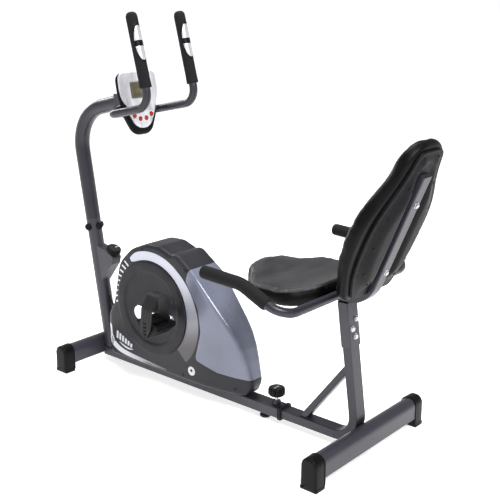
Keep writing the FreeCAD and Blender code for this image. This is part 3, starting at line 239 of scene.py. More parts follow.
def rect(a0, b0, a1, b1, low_radius=0.0, high_radius=None):
    """Rectangle with its lower and upper corners rounded."""
    high = low_radius if high_radius is None else high_radius
    return rounded([(a0, b0), (a1, b0), (a1, b1), (a0, b1)], [low_radius] * 2 + [high] * 2)


def mirrored(edge, radii):
    """Outline symmetric about a = 0, from its points on the +a side and their radii."""
    return rounded(edge + [(-a, b) for a, b in reversed(edge)], radii + radii[::-1])


def spread(outline, spacing):
    """The same closed outline with extra points so that no edge is longer than the spacing."""
    out = []
    for a, b in next_pairs(outline):
        if (b - a).length < 1e-6:
            continue
        parts = max(1, math.ceil((b - a).length / spacing))
        out.extend(a.lerp(b, k / parts) for k in range(parts))
    return out


def inset(outline, distance):
    """The outline moved inwards by a distance."""
    sign = 1 if sum(a.x * b.y - b.x * a.y for a, b in next_pairs(outline)) > 0 else -1
    out = []
    for i, here in enumerate(outline):
        back = (here - outline[i - 1]).normalized()
        ahead = (outline[(i + 1) % len(outline)] - here).normalized()
        left = Vector((-ahead.y, ahead.x)) * sign
        normal = Vector((-(back.y + ahead.y), back.x + ahead.x)) * sign
        normal = normal.normalized() if normal.length > 1e-6 else left
        out.append(here + normal * distance / max(0.6, normal.dot(left)))
    return out


def as_array(outline):
    return np.array([tuple(p) for p in outline])


def distance_to(loop, a, b):
    """Distance from a point to a closed outline given as an array."""
    point, run = np.array((a, b)), np.roll(loop, -1, axis=0) - loop
    t = np.clip(((point - loop) * run).sum(1) / np.maximum((run ** 2).sum(1), 1e-9), 0, 1)
    return float(np.sqrt((((loop + run * t[:, None]) - point) ** 2).sum(1).min()))


def within(loop, a, b):
    """Even-odd test for a point in a closed outline given as an array."""
    xs, ys = loop[:, 0], loop[:, 1]
    xn, yn = np.roll(xs, -1), np.roll(ys, -1)
    rise = np.where(yn == ys, 1e-9, yn - ys)
    crosses = ((ys > b) != (yn > b)) & (a < (xn - xs) * (b - ys) / rise + xs)
    return bool(crosses.sum() % 2)


def smoothstep(low, high, value):
    t = min(1.0, max(0.0, (value - low) / (high - low)))
    return t * t * (3 - 2 * t)


# ---- mesh helpers

def band(first, second, reverse=False):
    """Quads that join two closed loops of vertices."""
    pairs = zip(next_pairs(list(first)), next_pairs(list(second)))
    return [(b, a, c, d) if reverse else (a, b, d, c) for (a, b), (c, d) in pairs]


def two_skins(faces, count, rim):
    """Faces of a sheet, of its reverse on the next vertices, and of the rim between them."""
    return (faces + [[count + i for i in reversed(f)] for f in faces]
            + band(range(rim), range(count, count + rim)))


def sheet_mesh(outline, insets, cell):
    """Flat grid over an outline: inset rings at the rim, then cells. Returns points, faces and each
    point's distance from the rim, up to the last inset."""
    bm = bmesh.new()
    rings, rim_of = [], {}
    for distance in [0.0] + list(insets):
        shifted = inset(outline, distance) if distance else outline
        rings.append([bm.verts.new((p.x, p.y, 0)) for p in shifted])
        rim_of.update((v, distance) for v in rings[-1])
    for outer, inner in zip(rings, rings[1:]):
        for quad in band(outer, inner):
            bm.faces.new(quad)
    middle = [bm.faces.new(rings[-1])]
    for axis in (0, 1):
        low = min(v.co[axis] for v in rings[-1])
        high = max(v.co[axis] for v in rings[-1])
        lines = int((high - low) / cell)
        for k in range(1, lines + 1):
            spot, normal = Vector((0, 0, 0)), Vector((0, 0, 0))
            spot[axis] = low + (high - low) * k / (lines + 1)
            normal[axis] = 1
            edges = {e for f in middle for e in f.edges}
            verts = {v for f in middle for v in f.verts}
            cut = bmesh.ops.bisect_plane(bm, geom=list(middle) + list(edges) + list(verts),
                                         plane_co=spot, plane_no=normal, dist=0.01)
            fresh = {g for g in cut["geom"] + cut["geom_cut"] if isinstance(g, bmesh.types.BMFace)}
            middle = [f for f in set(middle) | fresh if f.is_valid]
    bm.verts.index_update()
    deepest = insets[-1] if insets else 0.0
    points = [v.co.copy() for v in bm.verts]
    rim = [rim_of.get(v, deepest) for v in bm.verts]
    faces = [[v.index for v in f.verts] for f in bm.faces]
    bm.free()
    return points, faces, rim


def tidy(obj, angle=35.0, weld=WELD):
    """Weld, face outwards and shade smooth below an angle."""
    bm = bmesh.new()
    bm.from_mesh(obj.data)
    bmesh.ops.remove_doubles(bm, verts=bm.verts, dist=weld)
    bmesh.ops.recalc_face_normals(bm, faces=bm.faces)
    for f in bm.faces:
        f.smooth = True
    for e in bm.edges:
        e.smooth = len(e.link_faces) == 2 and e.calc_face_angle(0.0) < math.radians(angle)
    bm.to_mesh(obj.data)
    bm.free()


def mesh_object(name, verts, faces, material, angle=35.0):
    mesh = bpy.data.meshes.new(name)
    mesh.from_pydata([tuple(v) for v in verts], [], faces)
    mesh.validate()
    mesh.materials.append(material)
    obj = add_object(name, mesh)
    tidy(obj, angle, weld=1e-6)
    return obj


def bake(obj):
    """Apply every modifier."""
    graph = bpy.context.evaluated_depsgraph_get()
    mesh = bpy.data.meshes.new_from_object(obj.evaluated_get(graph))
    obj.modifiers.clear()
    obj.data = mesh


def cut(obj, tool, operation="DIFFERENCE"):
    """Boolean with a tool that is then removed."""
    mod = obj.modifiers.new("cut", "BOOLEAN")
    mod.object = tool
    mod.operation = operation
    mod.solver = "EXACT"
    bake(obj)
    bpy.data.objects.remove(tool)


def piece(obj, body, slot, *nodes):
    """Attach a finished piece to its body and hide the CAD nodes it stands for."""
    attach(obj, body)
    if nodes:
        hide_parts(*nodes)
    return obj


def copy_of(obj, name, mirror=False):
    twin = obj.copy()
    twin.data = obj.data.copy()
    twin.name = name
    scene.collection.objects.link(twin)
    if mirror:
        twin.data.transform(Matrix.Scale(-1, 4, (0, 1, 0)))
        twin.data.flip_normals()
    return twin


def joined(name, *objects):
    """One object from several, keeping their materials."""
    bm = bmesh.new()
    mesh = bpy.data.meshes.new(name)
    slots = []
    for obj in objects:
        before = len(bm.faces)
        bm.from_mesh(obj.data)
        bm.faces.ensure_lookup_table()
        for f in bm.faces[before:]:
            look = obj.data.materials[f.material_index]
            if look not in slots:
                slots.append(look)
            f.material_index = slots.index(look)
    bm.to_mesh(mesh)
    bm.free()
    for look in slots:
        mesh.materials.append(look)
    out = add_object(name, mesh)
    for obj in objects:
        bpy.data.objects.remove(obj)
    return out


def edge_profile(radius, steps=5):
    """Distances in from the rim and how far the surface has fallen there, for a round edge."""
    turns = [QUARTER * k / steps for k in range(steps + 1)]
    return [(radius * (1 - math.cos(a)), radius * (1 - math.sin(a))) for a in turns]


def slab(name, outline, low, high, radius, material, place, cell=20.0, spacing=6.0, crown=None):
    """Rounded slab: an outline in (a, b), between two heights, with round edges on both faces.
    place(a, b, height) gives the drawing point; crown(a, b) raises the top face."""
    loop, profile = spread(outline, spacing), edge_profile(radius)
    points, faces, rim = sheet_mesh(loop, [step for step, _ in profile[1:]], cell)
    falls = {round(step, 6): fall for step, fall in profile}
    top, bottom = [], []
    for p, r in zip(points, rim):
        fall = falls.get(round(r, 6), 0.0)
        lift = crown(p.x, p.y) if crown else 0.0
        top.append(at(*place(p.x, p.y, high - fall + lift)))
        bottom.append(at(*place(p.x, p.y, low + fall)))
    return mesh_object(name, top + bottom, two_skins(faces, len(points), len(loop)), material)


def lathe(name, profile, origin, axis, material, segments=72, flute=None):
    """Solid of revolution: profile is (radius, height) pairs from bottom centre to top centre.
    flute(radius, height, turn) may change the radius."""
    turn_to = Vector(UP).rotation_difference(Vector(axis))
    verts, faces, rows = [], [], []
    for radius, height in profile:
        if radius < 1e-6:
            rows.append([len(verts)] * segments)
            verts.append(at(*origin) + turn_to @ Vector((0, 0, height * MM)))
            continue
        rows.append(list(range(len(verts), len(verts) + segments)))
        for k in range(segments):
            a = TURN * k / segments
            r = flute(radius, height, a) if flute else radius
            spoke = Vector((r * MM * math.cos(a), r * MM * math.sin(a), height * MM))
            verts.append(at(*origin) + turn_to @ spoke)
    for lower, upper in zip(rows, rows[1:]):
        corners = [list(dict.fromkeys(quad)) for quad in band(lower, upper)]
        faces += [face for face in corners if len(face) > 2]
    return mesh_object(name, verts, faces, material)


def round_profile(radius, low, high, edge, steps=4):
    """Lathe profile of a disc with rounded rims."""
    turns = [QUARTER * k / steps for k in range(steps + 1)]
    flat = radius - edge
    return ([(0, low)]
            + [(flat + edge * math.sin(a), low + edge - edge * math.cos(a)) for a in turns]
            + [(flat + edge * math.cos(a), high - edge + edge * math.sin(a)) for a in turns]
            + [(0, high)])


def prism(name, outline, low, high, material, place=lambda a, y, b: (a, y, b)):
    """Plain prism across the width, for cutting."""
    count = len(outline)
    verts = [at(*place(p[0], y, p[1])) for y in (low, high) for p in outline]
    faces = [list(range(count)), list(range(2 * count - 1, count - 1, -1))]
    return mesh_object(name, verts, faces + band(range(count), range(count, 2 * count)), material)


def panel(name, layers, material, angle):
    """Thin closed panel between two grids of points with the same rows and columns."""
    rows, columns = len(layers[0]), len(layers[0][0])
    size = rows * columns
    faces = []
    for base in (0, size):
        for i in range(rows - 1):
            for j in range(columns - 1):
                corner = base + i * columns + j
                quad = [corner, corner + 1, corner + columns + 1, corner + columns]
                faces.append(quad if base else quad[::-1])
    ring = list(range(columns - 1)) + [i * columns + columns - 1 for i in range(rows - 1)]
    ring += [size - columns + j for j in range(columns - 1, 0, -1)]
    ring += [i * columns for i in range(rows - 1, 0, -1)]
    faces += band(ring, [size + i for i in ring])
    verts = [v for grid in layers for row in grid for v in row]
    return mesh_object(name, verts, faces, material, angle)


# ---- drive housing

SHELL_OUTLINE = rounded(
    [(-500, 58), (-546, 96), (-545, 175), (-489, 242), (-454, 395), (-395, 452), (-322, 482),
     (-262, 484), (-210, 466), (-184, 472), (-98, 412), (12, 290), (66, 232), (100, 100), (76, 58)],
    [40, 40, 60, 70, 90, 90, 60, 40, 14, 30, 60, 200, 260, 40, 20])
PLAN = rounded(
    [(-547, -16), (-512, -65), (-70, -65), (50, -46), (102, -26), (102, 26), (50, 46), (-70, 65),
     (-512, 65), (-547, 16)], [14, 34, 600, 350, 10, 10, 350, 600, 34, 14], step=2)
PLAN_X, PLAN_W = zip(*sorted((p.x, p.y) for p in PLAN if p.y > 0))
INSERT_OUTLINE = rounded(
    [(-116, 460), (-142, 396), (-92, 315), (-81, 239), (-106, 142), (-19, 119), (140, 112),
     (140, 300), (20, 470)], [0, 14, 60, 60, 14, 40, 0, 0, 0])
RIM = as_array(SHELL_OUTLINE)
RIM_ROUND = 13.0
WALL = 3.0
INSERT_GAP = 0.4
CRANK = (-299.0, 270.0)
HUB = (CRANK[0], 0, CRANK[1])
CREASE_TOP, CREASE_LONG = (-122, 432), 190


def side_depth(x, z):
    """Half width of the housing at a side-view point, with its rounded rim and the insert's crease."""
    half = float(np.interp(x, PLAN_X, PLAN_W))
    d = min(distance_to(RIM, x, z), RIM_ROUND)
    half += -RIM_ROUND + math.sqrt(max(0.0, RIM_ROUND ** 2 - (RIM_ROUND - d) ** 2))
    dx, dz = x - CREASE_TOP[0], z - CREASE_TOP[1]
    along, across = dx * 0.72 - dz * 0.69, dx * 0.69 + dz * 0.72
    if 0 < along < CREASE_LONG:
        ridge = 1.3 * math.exp(-(across / 6.0) ** 2)
        half += ridge * min(1, along / 15) * min(1, (CREASE_LONG - along) / 90)
    return max(half, 1.0)


def housing_half():
    """The left half of the housing, hollow, with its crank hole and rail slot."""
    rim_loop = spread(SHELL_OUTLINE, 7)
    steps = [step for step, _ in edge_profile(RIM_ROUND, 6)[1:]]
    points, faces, _ = sheet_mesh(rim_loop, steps, 9)
    verts = [at(p.x, -side_depth(p.x, p.y), p.y) for p in points]
    count, seam = len(rim_loop), len(verts)
    verts += [at(p.x, -0.2, p.y) for p in rim_loop]
    half = mesh_object("housing_shell_left", verts,
                       faces + band(range(count), range(seam, seam + count), reverse=True), SHELL)
    thick = half.modifiers.new("thick", "SOLIDIFY")
    thick.thickness = WALL * MM
    thick.offset = -1
    bake(half)
    cut(half, lathe("hole", round_profile(28, 30, 90, 1), HUB, (0, -1, 0), SHELL))
    cut(half, prism("slot", rect(-327, 30, 43, 63), -31, 5, SHELL))
    return half


left_shell = housing_half()
left_insert = copy_of(left_shell, "rear_insert_left")
cut(left_insert, prism("keep", inset(INSERT_OUTLINE, INSERT_GAP), -90, 20, INSERT), "INTERSECT")
cut(left_shell, prism("away", inset(INSERT_OUTLINE, -INSERT_GAP), -90, 20, SHELL))
left_insert.data.materials.clear()
left_insert.data.materials.append(INSERT)
for half in (left_shell, left_insert):
    tidy(half, 32)
right_shell = copy_of(left_shell, "housing_shell_right", mirror=True)
right_insert = copy_of(left_insert, "rear_insert_right", mirror=True)
piece(left_shell, "base", "shell", "left_housing")
piece(right_shell, "base", "shell", "right_housing")
inserts = joined("rear_insert_pair", left_insert, right_insert)
tidy(inserts, 32, weld=1e-6)
piece(inserts, "base", "insert", "rear_inserts")


# ---- printed film on the housing

def fade(name, bright, dull, start, end):
    """Film that fades from one colour to another between two drawing points."""
    mat = shader(name, bright, 0.32, metallic=0.1, mottle=0.05, grain=2200, coat=0.3)
    tree = mat.node_tree
    base = tree.nodes["Principled BSDF"].inputs["Base Color"]
    run = at(*end) - at(*start)
    run /= run.length_squared
    first = at(*start).dot(run)
    along = node(tree, "VectorMath", "Value", {0: node(tree, "TexCoord", "Object"), 1: run},
                 operation="DOT_PRODUCT")
    share = node(tree, "MapRange", "Result", {"Value": along, "From Min": first, "From Max": first + 1},
                 interpolation_type="SMOOTHSTEP")
    feed(tree, base, node(tree, "MixRGB", "Color", {"Fac": share, "Color1": base.links[0].from_socket,
                                                    "Color2": list(dull) + [1]}))
    return mat


def decal(name, outline, material, lift=0.35, cell=9.0, spacing=4.0):
    """Thin film lying on the left side of the housing; outline in drawing (x, z)."""
    loop = spread(outline, spacing)
    points, faces, _ = sheet_mesh(loop, [], cell)
    verts = [at(p.x, -side_depth(p.x, p.y) - out, p.y) for out in (lift, -0.25) for p in points]
    return mesh_object(name, verts, two_skins(faces, len(points), len(loop)), material)


def ribbon(stations):
    """Outline of a band through (x, z, half width) stations, with round ends."""
    mids = [Vector(s[:2]) for s in stations]
    left, right = [], []
    for i, (mid, station) in enumerate(zip(mids, stations)):
        run = (mids[min(len(mids) - 1, i + 1)] - mids[max(0, i - 1)]).normalized()
        across = Vector((-run.y, run.x)) * station[2]
        left.append(mid + across)
        right.append(mid - across)

    def cap(centre, start, half):
        first = (start - centre).normalized() * half
        return [centre + Vector((first.x * math.cos(a) + first.y * math.sin(a),
                                 -first.x * math.sin(a) + first.y * math.cos(a)))
                for a in (math.pi * k / 6 for k in range(1, 6))]

    return (left + cap(mids[-1], left[-1], stations[-1][2])
            + right[::-1] + cap(mids[0], right[0], stations[0][2]))


def smooth_path(stations, parts=5):
    """Catmull-Rom points through stations of any width."""
    rows = [np.array(s, float) for s in stations]
    rows = [2 * rows[0] - rows[1]] + rows + [2 * rows[-1] - rows[-2]]
    out = []
    for a, b, c, d in zip(rows, rows[1:], rows[2:], rows[3:]):
        for t in (k / parts for k in range(parts)):
            out.append(tuple(0.5 * (2 * b + (c - a) * t + (2 * a - 5 * b + 4 * c - d) * t * t
                                    + (3 * b - a - 3 * c + d) * t ** 3)))
    return out + [tuple(rows[-2])]


def crescent():
    """Band hugging the disc cover, from its rounded start at the upper left to the insert's tip."""
    turns = [-122, -110, -90, -70, -50, -35, -20, -7, 6, 20, 32, 44]
    reaches = [186, 189, 190, 191, 192, 196, 201, 206, 211, 214, 215, 213]
    angles = [-122 + 166 * k / 33 for k in range(34)]
    outer = [180, 185] + [float(np.interp(a, turns, reaches)) for a in angles[2:]]
    inner = [167, 162] + [160.5] * 32
    return ([polar(CRANK, r, -a) for r, a in zip(outer, angles)]
            + [polar(CRANK, r, -a) for r, a in zip(inner, angles)][::-1])


film = [decal("crescent", crescent(), fade("crescent_film", (0.54, 0.56, 0.64), (0.040, 0.033, 0.037),
                                           (-175, -65, 400), (-110, -65, 165)))]
tail_path = smooth_path([(-508, 160, 9.0), (-507, 130, 11.5), (-492, 104, 11.5), (-464, 88, 10.0),
                         (-428, 80, 8.5), (-380, 76, 7.5), (-320, 73, 6), (-240, 71, 3)])
film.append(decal("lower_stripe", ribbon(tail_path),
                  fade("stripe_film", (0.72, 0.73, 0.80), (0.06, 0.055, 0.06), (-500, -65, 90),
                       (-230, -65, 70)), cell=14))
for k in range(9):      # dashes round the disc cover, shorter from first to last
    angle = 131 + 6.6 * k
    half = float(np.interp(angle, [131, 150, 185], [11.5, 8.0, 5.5]))
    out = polar((0, 0), 1, angle)
    side = Vector((-out.y, out.x))
    mid = Vector(CRANK) + out * (161 + half)
    film.append(decal("dash_%d" % k, [mid + out * half + side * 5.2, mid - out * half + side * 1.6,
                                      mid - out * half - side * 4.6, mid + out * half - side * 1.0],
                      STRIPE, spacing=30))
for k in range(6):      # leaning bars above the lower stripe
    foot = Vector((-477 + 13.5 * k, 124 - 3.4 * k))
    tall = 27 - 2.6 * k
    film.append(decal("bar_%d" % k, [foot, foot + Vector((8.6, -1.9)),
                                     foot + Vector((11.6, tall - 1.9)), foot + Vector((3.0, tall))],
                      STRIPE, spacing=30))
under = smooth_path([(-462, 112, 1.0), (-442, 104, 3.0), (-418, 99, 3.0), (-396, 101, 1.0)])
film.append(decal("underline", ribbon(under), STRIPE, cell=14))
film.append(decal("round_sticker", circle((-122, 99), 15, 36), PALE, cell=14))
film.append(decal("round_sticker_eye", circle((-122, 101), 5, 36), SHELL, lift=0.6, cell=14))
left_film = joined("housing_film_left", *film)
right_film = copy_of(left_film, "housing_film_right", mirror=True)
for obj in (left_film, right_film):
    tidy(obj, 40, weld=1e-6)
    piece(obj, "base", "silver")

SCREW = [(0, -4), (5.2, -4), (5.2, 0.2), (4.6, 0.6), (3.0, 0.6), (2.6, -0.8), (0, -0.8)]
screws = [lathe("screw", SCREW, (x, side * side_depth(x, z), z), (0, side, 0), BLACK, 24)
          for x, z in [(-335, 462), (-160, 75), (-488, 112), (-142, 428), (44, 78)] for side in (-1, 1)]
piece(joined("housing_screw_heads", *screws), "base", "black", "housing_screws")


# ---- disc covers, cranks and pedals

def on_both_sides(name, profile, material, segments):
    """The same turned piece on both ends of the crank axle; heights are from the middle plane."""
    return joined(name, *[lathe("part", profile, HUB, (0, side, 0), material, segments)
                          for side in (-1, 1)])


DISC_PROFILE = [(20, 66.2), (152, 66.2), (157, 66.8), (158.5, 68), (158, 69.6), (155.5, 71),
                (151, 71.5), (130, 71.8), (126, 71.6), (122.5, 70.4), (120, 68.4), (116, 67.6),
                (70, 67.4), (40, 67.6), (30, 68.4), (25, 71.2), (23.5, 78), (22, 79.5), (20, 79.5),
                (20, 66.2)]
CAP_PROFILE = [(0, 112.5), (22.5, 112.5), (24, 113.5), (24, 116.5), (22.8, 118.3), (19, 119),
               (8, 119.2), (6, 118.2), (0, 118)]
piece(on_both_sides("disc_cover_pair", DISC_PROFILE, DISC, 128), "crank", "shell", "crank_discs")
piece(on_both_sides("hub_cap_pair", CAP_PROFILE, CHROME, 72), "crank", "chrome", "hub_caps")
CRANK_LENGTH = 120.0


def crank_arm(name, side, reach):
    """Forged arm from the axle to the pedal with round ends, slimmer in the middle."""
    waist = [(30, 15.5), (60, 12.5), (90, 12.2)]
    outline = (arc((0, 0), 21.0, 75, 285, 17) + [Vector((a, -b)) for a, b in waist]
               + arc((CRANK_LENGTH, 0), 22.0, -85, 85, 15) + [Vector(p) for p in waist[::-1]])
    arm = slab(name, outline, 100, 113, 3.2, CHROME,
               lambda a, b, h: (CRANK[0] + reach * a, side * h, CRANK[1] + b), cell=16, spacing=5)
    boss = lathe("boss", round_profile(17, 80, 101, 1.5), HUB, (0, side, 0), CHROME)
    pin = [(0, 110), (9, 110), (9, 116), (7, 117), (7, 198), (6, 199), (0, 199)]
    spindle = lathe("spindle", pin, (CRANK[0] + reach * CRANK_LENGTH, 0, CRANK[1]), (0, side, 0),
                    STEEL, 36)
    return joined(name, arm, boss, spindle)


piece(crank_arm("crank_arm_left", -1, 1), "crank", "chrome", "left_crank")
piece(crank_arm("crank_arm_right", 1, -1), "crank", "chrome", "right_crank")

PEDAL_TILT = math.radians(5)
STRAP_SHIFT = 6.0
STRAP_HALF = 23.5
POCKETS = (-32.0, 15.0)


def pedal_body(name, hub_x, side, place):
    """V-keeled pedal with two pockets, tread ribs across it and bars over the pockets."""
    section = rounded([(-44, 0), (-9, -33), (11, -33), (46, 0), (46, 14.5), (-44, 14.5)],
                      [6, 10, 10, 6, 3, 3])
    body = slab("pedal", section, 118, 202, 3.0, BLACK, lambda a, b, h: place(a, h, b),
                cell=14, spacing=5)
    for start in POCKETS:
        cut(body, prism("pocket", rect(start, 3, start + 17, 30), 130, 190, BLACK, place))
    cut(body, lathe("bore", round_profile(7.6, 100, 200, 0.5), (hub_x, 0, CRANK[1]), (0, side, 0),
                    BLACK, 32))
    tidy(body)
    parts = [body]
    for k in range(4):
        a = -37 + 25.3 * k
        parts.append(slab("rib", rect(a - 2, 123, a + 2, 197, 1.2), 13.5, 16.5, 0.8, BLACK, place,
                          cell=60, spacing=12))
    for y in (138, 151, 164, 177):
        for start in POCKETS:
            parts.append(slab("bar", rect(start - 2, y - 2.5, start + 19, y + 2.5, 1), 4, 16, 1.2,
                              BLACK, place, cell=60, spacing=12))
    return joined(name, *parts)


def pedal_strap(name, place):
    """Ribbed rubber strap round the outer side and over the top, narrower at its lower end."""
    loop = rounded([(204, -38), (209, 0), (208, 66), (180, 106), (143, 105), (131, 62), (131, 13)],
                   [0, 40, 30, 24, 22, 20, 0], step=6)
    path = [loop[0]]
    for a, b in zip(loop, loop[1:]):
        count = max(1, int((b - a).length / 5))
        path += [a.lerp(b, k / count) for k in range(1, count + 1)]
    across = [-STRAP_HALF + 2 * STRAP_HALF * k / 36 for k in range(37)]
    layers = [[], []]
    for outside, grid in zip((True, False), layers):
        for i, p in enumerate(path):
            run = (path[min(i + 1, len(path) - 1)] - path[max(i - 1, 0)]).normalized()
            row = []
            for a in across:
                edge = 0.5 * max(0.0, abs(a) - 22.3)
                rib = 1.5 * max(0.0, math.cos(TURN * a / 11.5)) ** 2 if abs(a) < 20 else 0.0
                q = p + Vector((run.y, -run.x)) * (rib - edge if outside else edge - 2.4)
                taper = 0.35 + 0.65 * smoothstep(-36, 8, q.y)
                row.append(at(*place(a * taper + STRAP_SHIFT * smoothstep(-36, 40, q.y), q.x, q.y)))
            grid.append(row)
    strap = panel(name, layers, RUBBER, 50)
    for z in (-22, -10, 2, 14):
        cut(strap, prism("hole", rect(-4, z, 8, z + 5), 203, 230, RUBBER, place))
    tidy(strap, 50)
    return strap


for side, hand in ((-1, "left"), (1, "right")):
    hub_x = CRANK[0] - side * CRANK_LENGTH

    def on_pedal(a, y, b, hub_x=hub_x, side=side):
        c, s = math.cos(PEDAL_TILT), math.sin(PEDAL_TILT)
        return hub_x + a * c + b * s, side * y, CRANK[1] - a * s + b * c

    body = "%s_pedal" % hand
    piece(pedal_body("pedal_body_%s" % hand, hub_x, side, on_pedal), body, "black", body)
    piece(pedal_strap("pedal_strap_%s_visual" % hand, on_pedal), body, "rubber", body + "_strap")


# ---- knobs, foot and mast bolts

def grooves(count, deep, low, high, outer):
    """Finger flutes for a lathe knob: only the outermost ring between two heights is cut."""
    def radius(r, h, turn):
        if r < outer - 3.5 or not low < h < high:
            return r
        return r - deep * max(0.0, math.cos(count * turn)) ** 2
    return radius


def on_axis(base, axis):
    """Place function for a knob's face: across, along and out of it."""
    turn = Vector(UP).rotation_difference(Vector(axis))
    return lambda a, b, h: tuple(Vector(base) + turn @ Vector((a, b, h)))


def knob(name, base, axis, head, flute, dial, dial_segments, mark, mark_low, mark_high, mark_edge,
         mark_look, stem_low, stem_high):
    """Fluted knob with a dial, a mark on the dial and its steel stem."""
    low_a, low_b, high_b, corner = mark
    outline = rect(low_a, low_b, -low_a, high_b, corner)
    return joined(
        name, lathe("head", head, base, axis, BLACK, 168, flute=grooves(*flute)),
        lathe("dial", dial, base, axis, DISC, dial_segments),
        slab("mark", outline, mark_low, mark_high, mark_edge, mark_look, on_axis(base, axis), 40, 8),
        lathe("stem", round_profile(5, stem_low, stem_high, 0.6), base, axis, STEEL, 32))


KNOB_LEAN = math.radians(28)
piece(knob("tension_knob_head", (-554.2, 0, 397.3), (math.sin(KNOB_LEAN), 0, math.cos(KNOB_LEAN)),
           [(0, 1), (21, 1), (24, 2.2), (25, 4.5), (25, 16), (24.2, 19), (22.4, 20.6), (20.4, 21),
            (20, 20.2), (19.4, 20.2), (0, 20.2)], (14, 2.6, 2, 19.5, 25),
           [(0, 19.5), (18.8, 19.5), (19, 22), (18.2, 23), (12, 23.2), (11, 22.4), (0, 22.4)], 72,
           (-1.3, 3, 16.5, 1.2), 22, 24.2, 0.6, STRIPE, -14, 3),
      "tension_knob", "black", "tension_knob")
piece(knob("lock_knob_head", (174, 0, 80), UP,
           [(0, 0), (14, 0), (22, 4), (26, 9), (26, 22), (24.8, 26.5), (22.4, 28.6), (18, 29),
            (17.6, 28.4), (0, 28.4)], (12, 3.2, 5, 27.5, 26), round_profile(16.8, 27.5, 29.2, 0.5), 64,
           (-1.4, -12, 12, 1.3), 28.6, 29.6, 0.3, PALE, -25, 2),
      "lock_knob", "black", "rail_lock_knob")

foot = ((130, 0, 0), UP)
pad = lathe("foot_pad", [(0, 0.2), (14.5, 0.2), (17, 2.6), (17, 7), (15.5, 9.6), (8, 10.4), (0, 10.4)],
            *foot, RUBBER, 64)
nut = lathe("foot_nut", [(0, 9), (6.5, 9), (6.5, 13), (5.6, 14), (0, 14)], *foot, STEEL, 6)
stem = lathe("foot_stem", round_profile(4, 9, 22, 0.5), *foot, STEEL, 24)
piece(joined("foot_visual", pad, nut, stem), "foot", "rubber", "leveling_foot")

MAST_LEAN = math.radians(9.2)
MAST_HALF = 25
BOLT_CAP = [(0, -3), (12.5, -3), (12.5, 3.5), (11.6, 7.0), (9.0, 10.0), (5.0, 11.6), (0, 12.0)]
CLAMP_CAP = [(0, -1), (6.5, -1), (6.5, 4), (5.6, 5), (0, 5)]
joint = Vector((-568 - 478 * math.tan(MAST_LEAN), 0, 478))
rearwards = Vector((math.cos(MAST_LEAN), 0, math.sin(MAST_LEAN)))
bolt_caps = [lathe("bolt_cap", BOLT_CAP, tuple(joint + out * MAST_HALF), tuple(out), BLACK, 40)
             for out in (rearwards, -rearwards, Vector((0, 1, 0)), Vector((0, -1, 0)))]
bolt_caps += [lathe("clamp_cap", CLAMP_CAP, (-452, y, 873), (0, 0, -1), STEEL, 6) for y in (-16, 16)]
piece(joined("mast_bolt_caps", *bolt_caps), "base", "bright", "mast_bolts")


# ---- hand grips and pulse plates

GRIP_TIP, GRIP_KNEE = Vector((-310, 0, 1196)), Vector((-241, 0, 928))
GRIP_UP = (GRIP_TIP - GRIP_KNEE).normalized()
GRIP_SIDE = Vector((GRIP_UP.z, 0, -GRIP_UP.x))
FOAM_RADIUS = 18.0
GRIP_PROFILE = [(12.9, -219), (17.2, -219), (18.3, -217.8), (18.6, -215), (18.3, -208), (17.9, -190),
                (17.9, -150), (18.0, -120), (18.0, -60), (17.9, -24), (18.0, -12), (17.5, -6),
                (15.8, -1), (12.8, 3), (8.5, 5.4), (5.5, 5.8), (4.5, 5.0), (0, 4.8)]
LEAF_MIDDLE = -87.5


def leaf(name, tip, reach, low, high, spread_deg, half, material):
    """Curved patch on the grip: from one height along it to another, its half angle shrinking to
    the ends."""
    rows, columns = 16, 18
    layers = []
    for r in (reach, 16.5):
        grid = []
        for i in range(rows + 1):
            s = low + (high - low) * i / rows
            share = math.sqrt(max(0.02, 1 - ((s - LEAF_MIDDLE) / half) ** 2))
            row = []
            for j in range(columns + 1):
                a = math.radians(spread_deg) * share * (2 * j / columns - 1)
                on_rim = min(i, rows - i, j, columns - j) == 0
                radius = r - (0.5 if on_rim and r == reach else 0)
                out = GRIP_SIDE * math.cos(a) + Vector((0, 1, 0)) * math.sin(a)
                row.append(at(*(tip + GRIP_UP * s + out * radius)))
            grid.append(row)
        layers.append(grid)
    return panel(name, layers, material, 45)


fine = []
for (r0, h0), (r1, h1) in zip(GRIP_PROFILE, GRIP_PROFILE[1:]):
    count = max(1, int((h1 - h0) / 6))
    fine += [(r0 + (r1 - r0) * k / count, h0 + (h1 - h0) * k / count) for k in range(count)]
fine.append(GRIP_PROFILE[-1])
grips, plates = [], []
for y in (-100, 100):
    tip = GRIP_TIP + Vector((0, y, 0))
    grips.append(lathe("grip", fine, tuple(tip), tuple(GRIP_UP), FOAM, 64))
    plates.append(leaf("surround", tip, 18.7, -148, -27, 74, 61, BLACK))
    plates.append(leaf("plate_low", tip, 19.3, -138, -97, 60, 52, PLATE))
    plates.append(leaf("plate_high", tip, 19.3, -80, -37, 60, 52, PLATE))
grip_pair = joined("foam_grip_pair", *grips)
piece(grip_pair, "base", "foam", "hand_grips")
piece(joined("pulse_plate_set", *plates), "base", "chrome", "pulse_plates")


def bend_path(points, radii, spacing):
    """Open 3-D path with tangent arcs at its inner corners."""
    pts = [Vector(p) for p in points]
    out = [pts[0]]
    for before, here, after, radius in zip(pts, pts[1:], pts[2:], radii):
        back, ahead = (before - here).normalized(), (after - here).normalized()
        half = back.angle(ahead) / 2
        reach = radius / math.tan(half)
        centre = here + (back + ahead).normalized() * (radius / math.sin(half))
        first, last = here + back * reach - centre, here + ahead * reach - centre
        turn, axis = first.angle(last), first.cross(last).normalized()
        count = max(3, int(radius * turn / spacing))
        out += [centre + Quaternion(axis, turn * k / count) @ first for k in range(count + 1)]
    out.append(pts[-1])
    fine = []
    for a, b in zip(out, out[1:]):
        count = max(1, int((b - a).length / spacing))
        fine += [a.lerp(b, k / count) for k in range(count)]
    return fine + [out[-1]]


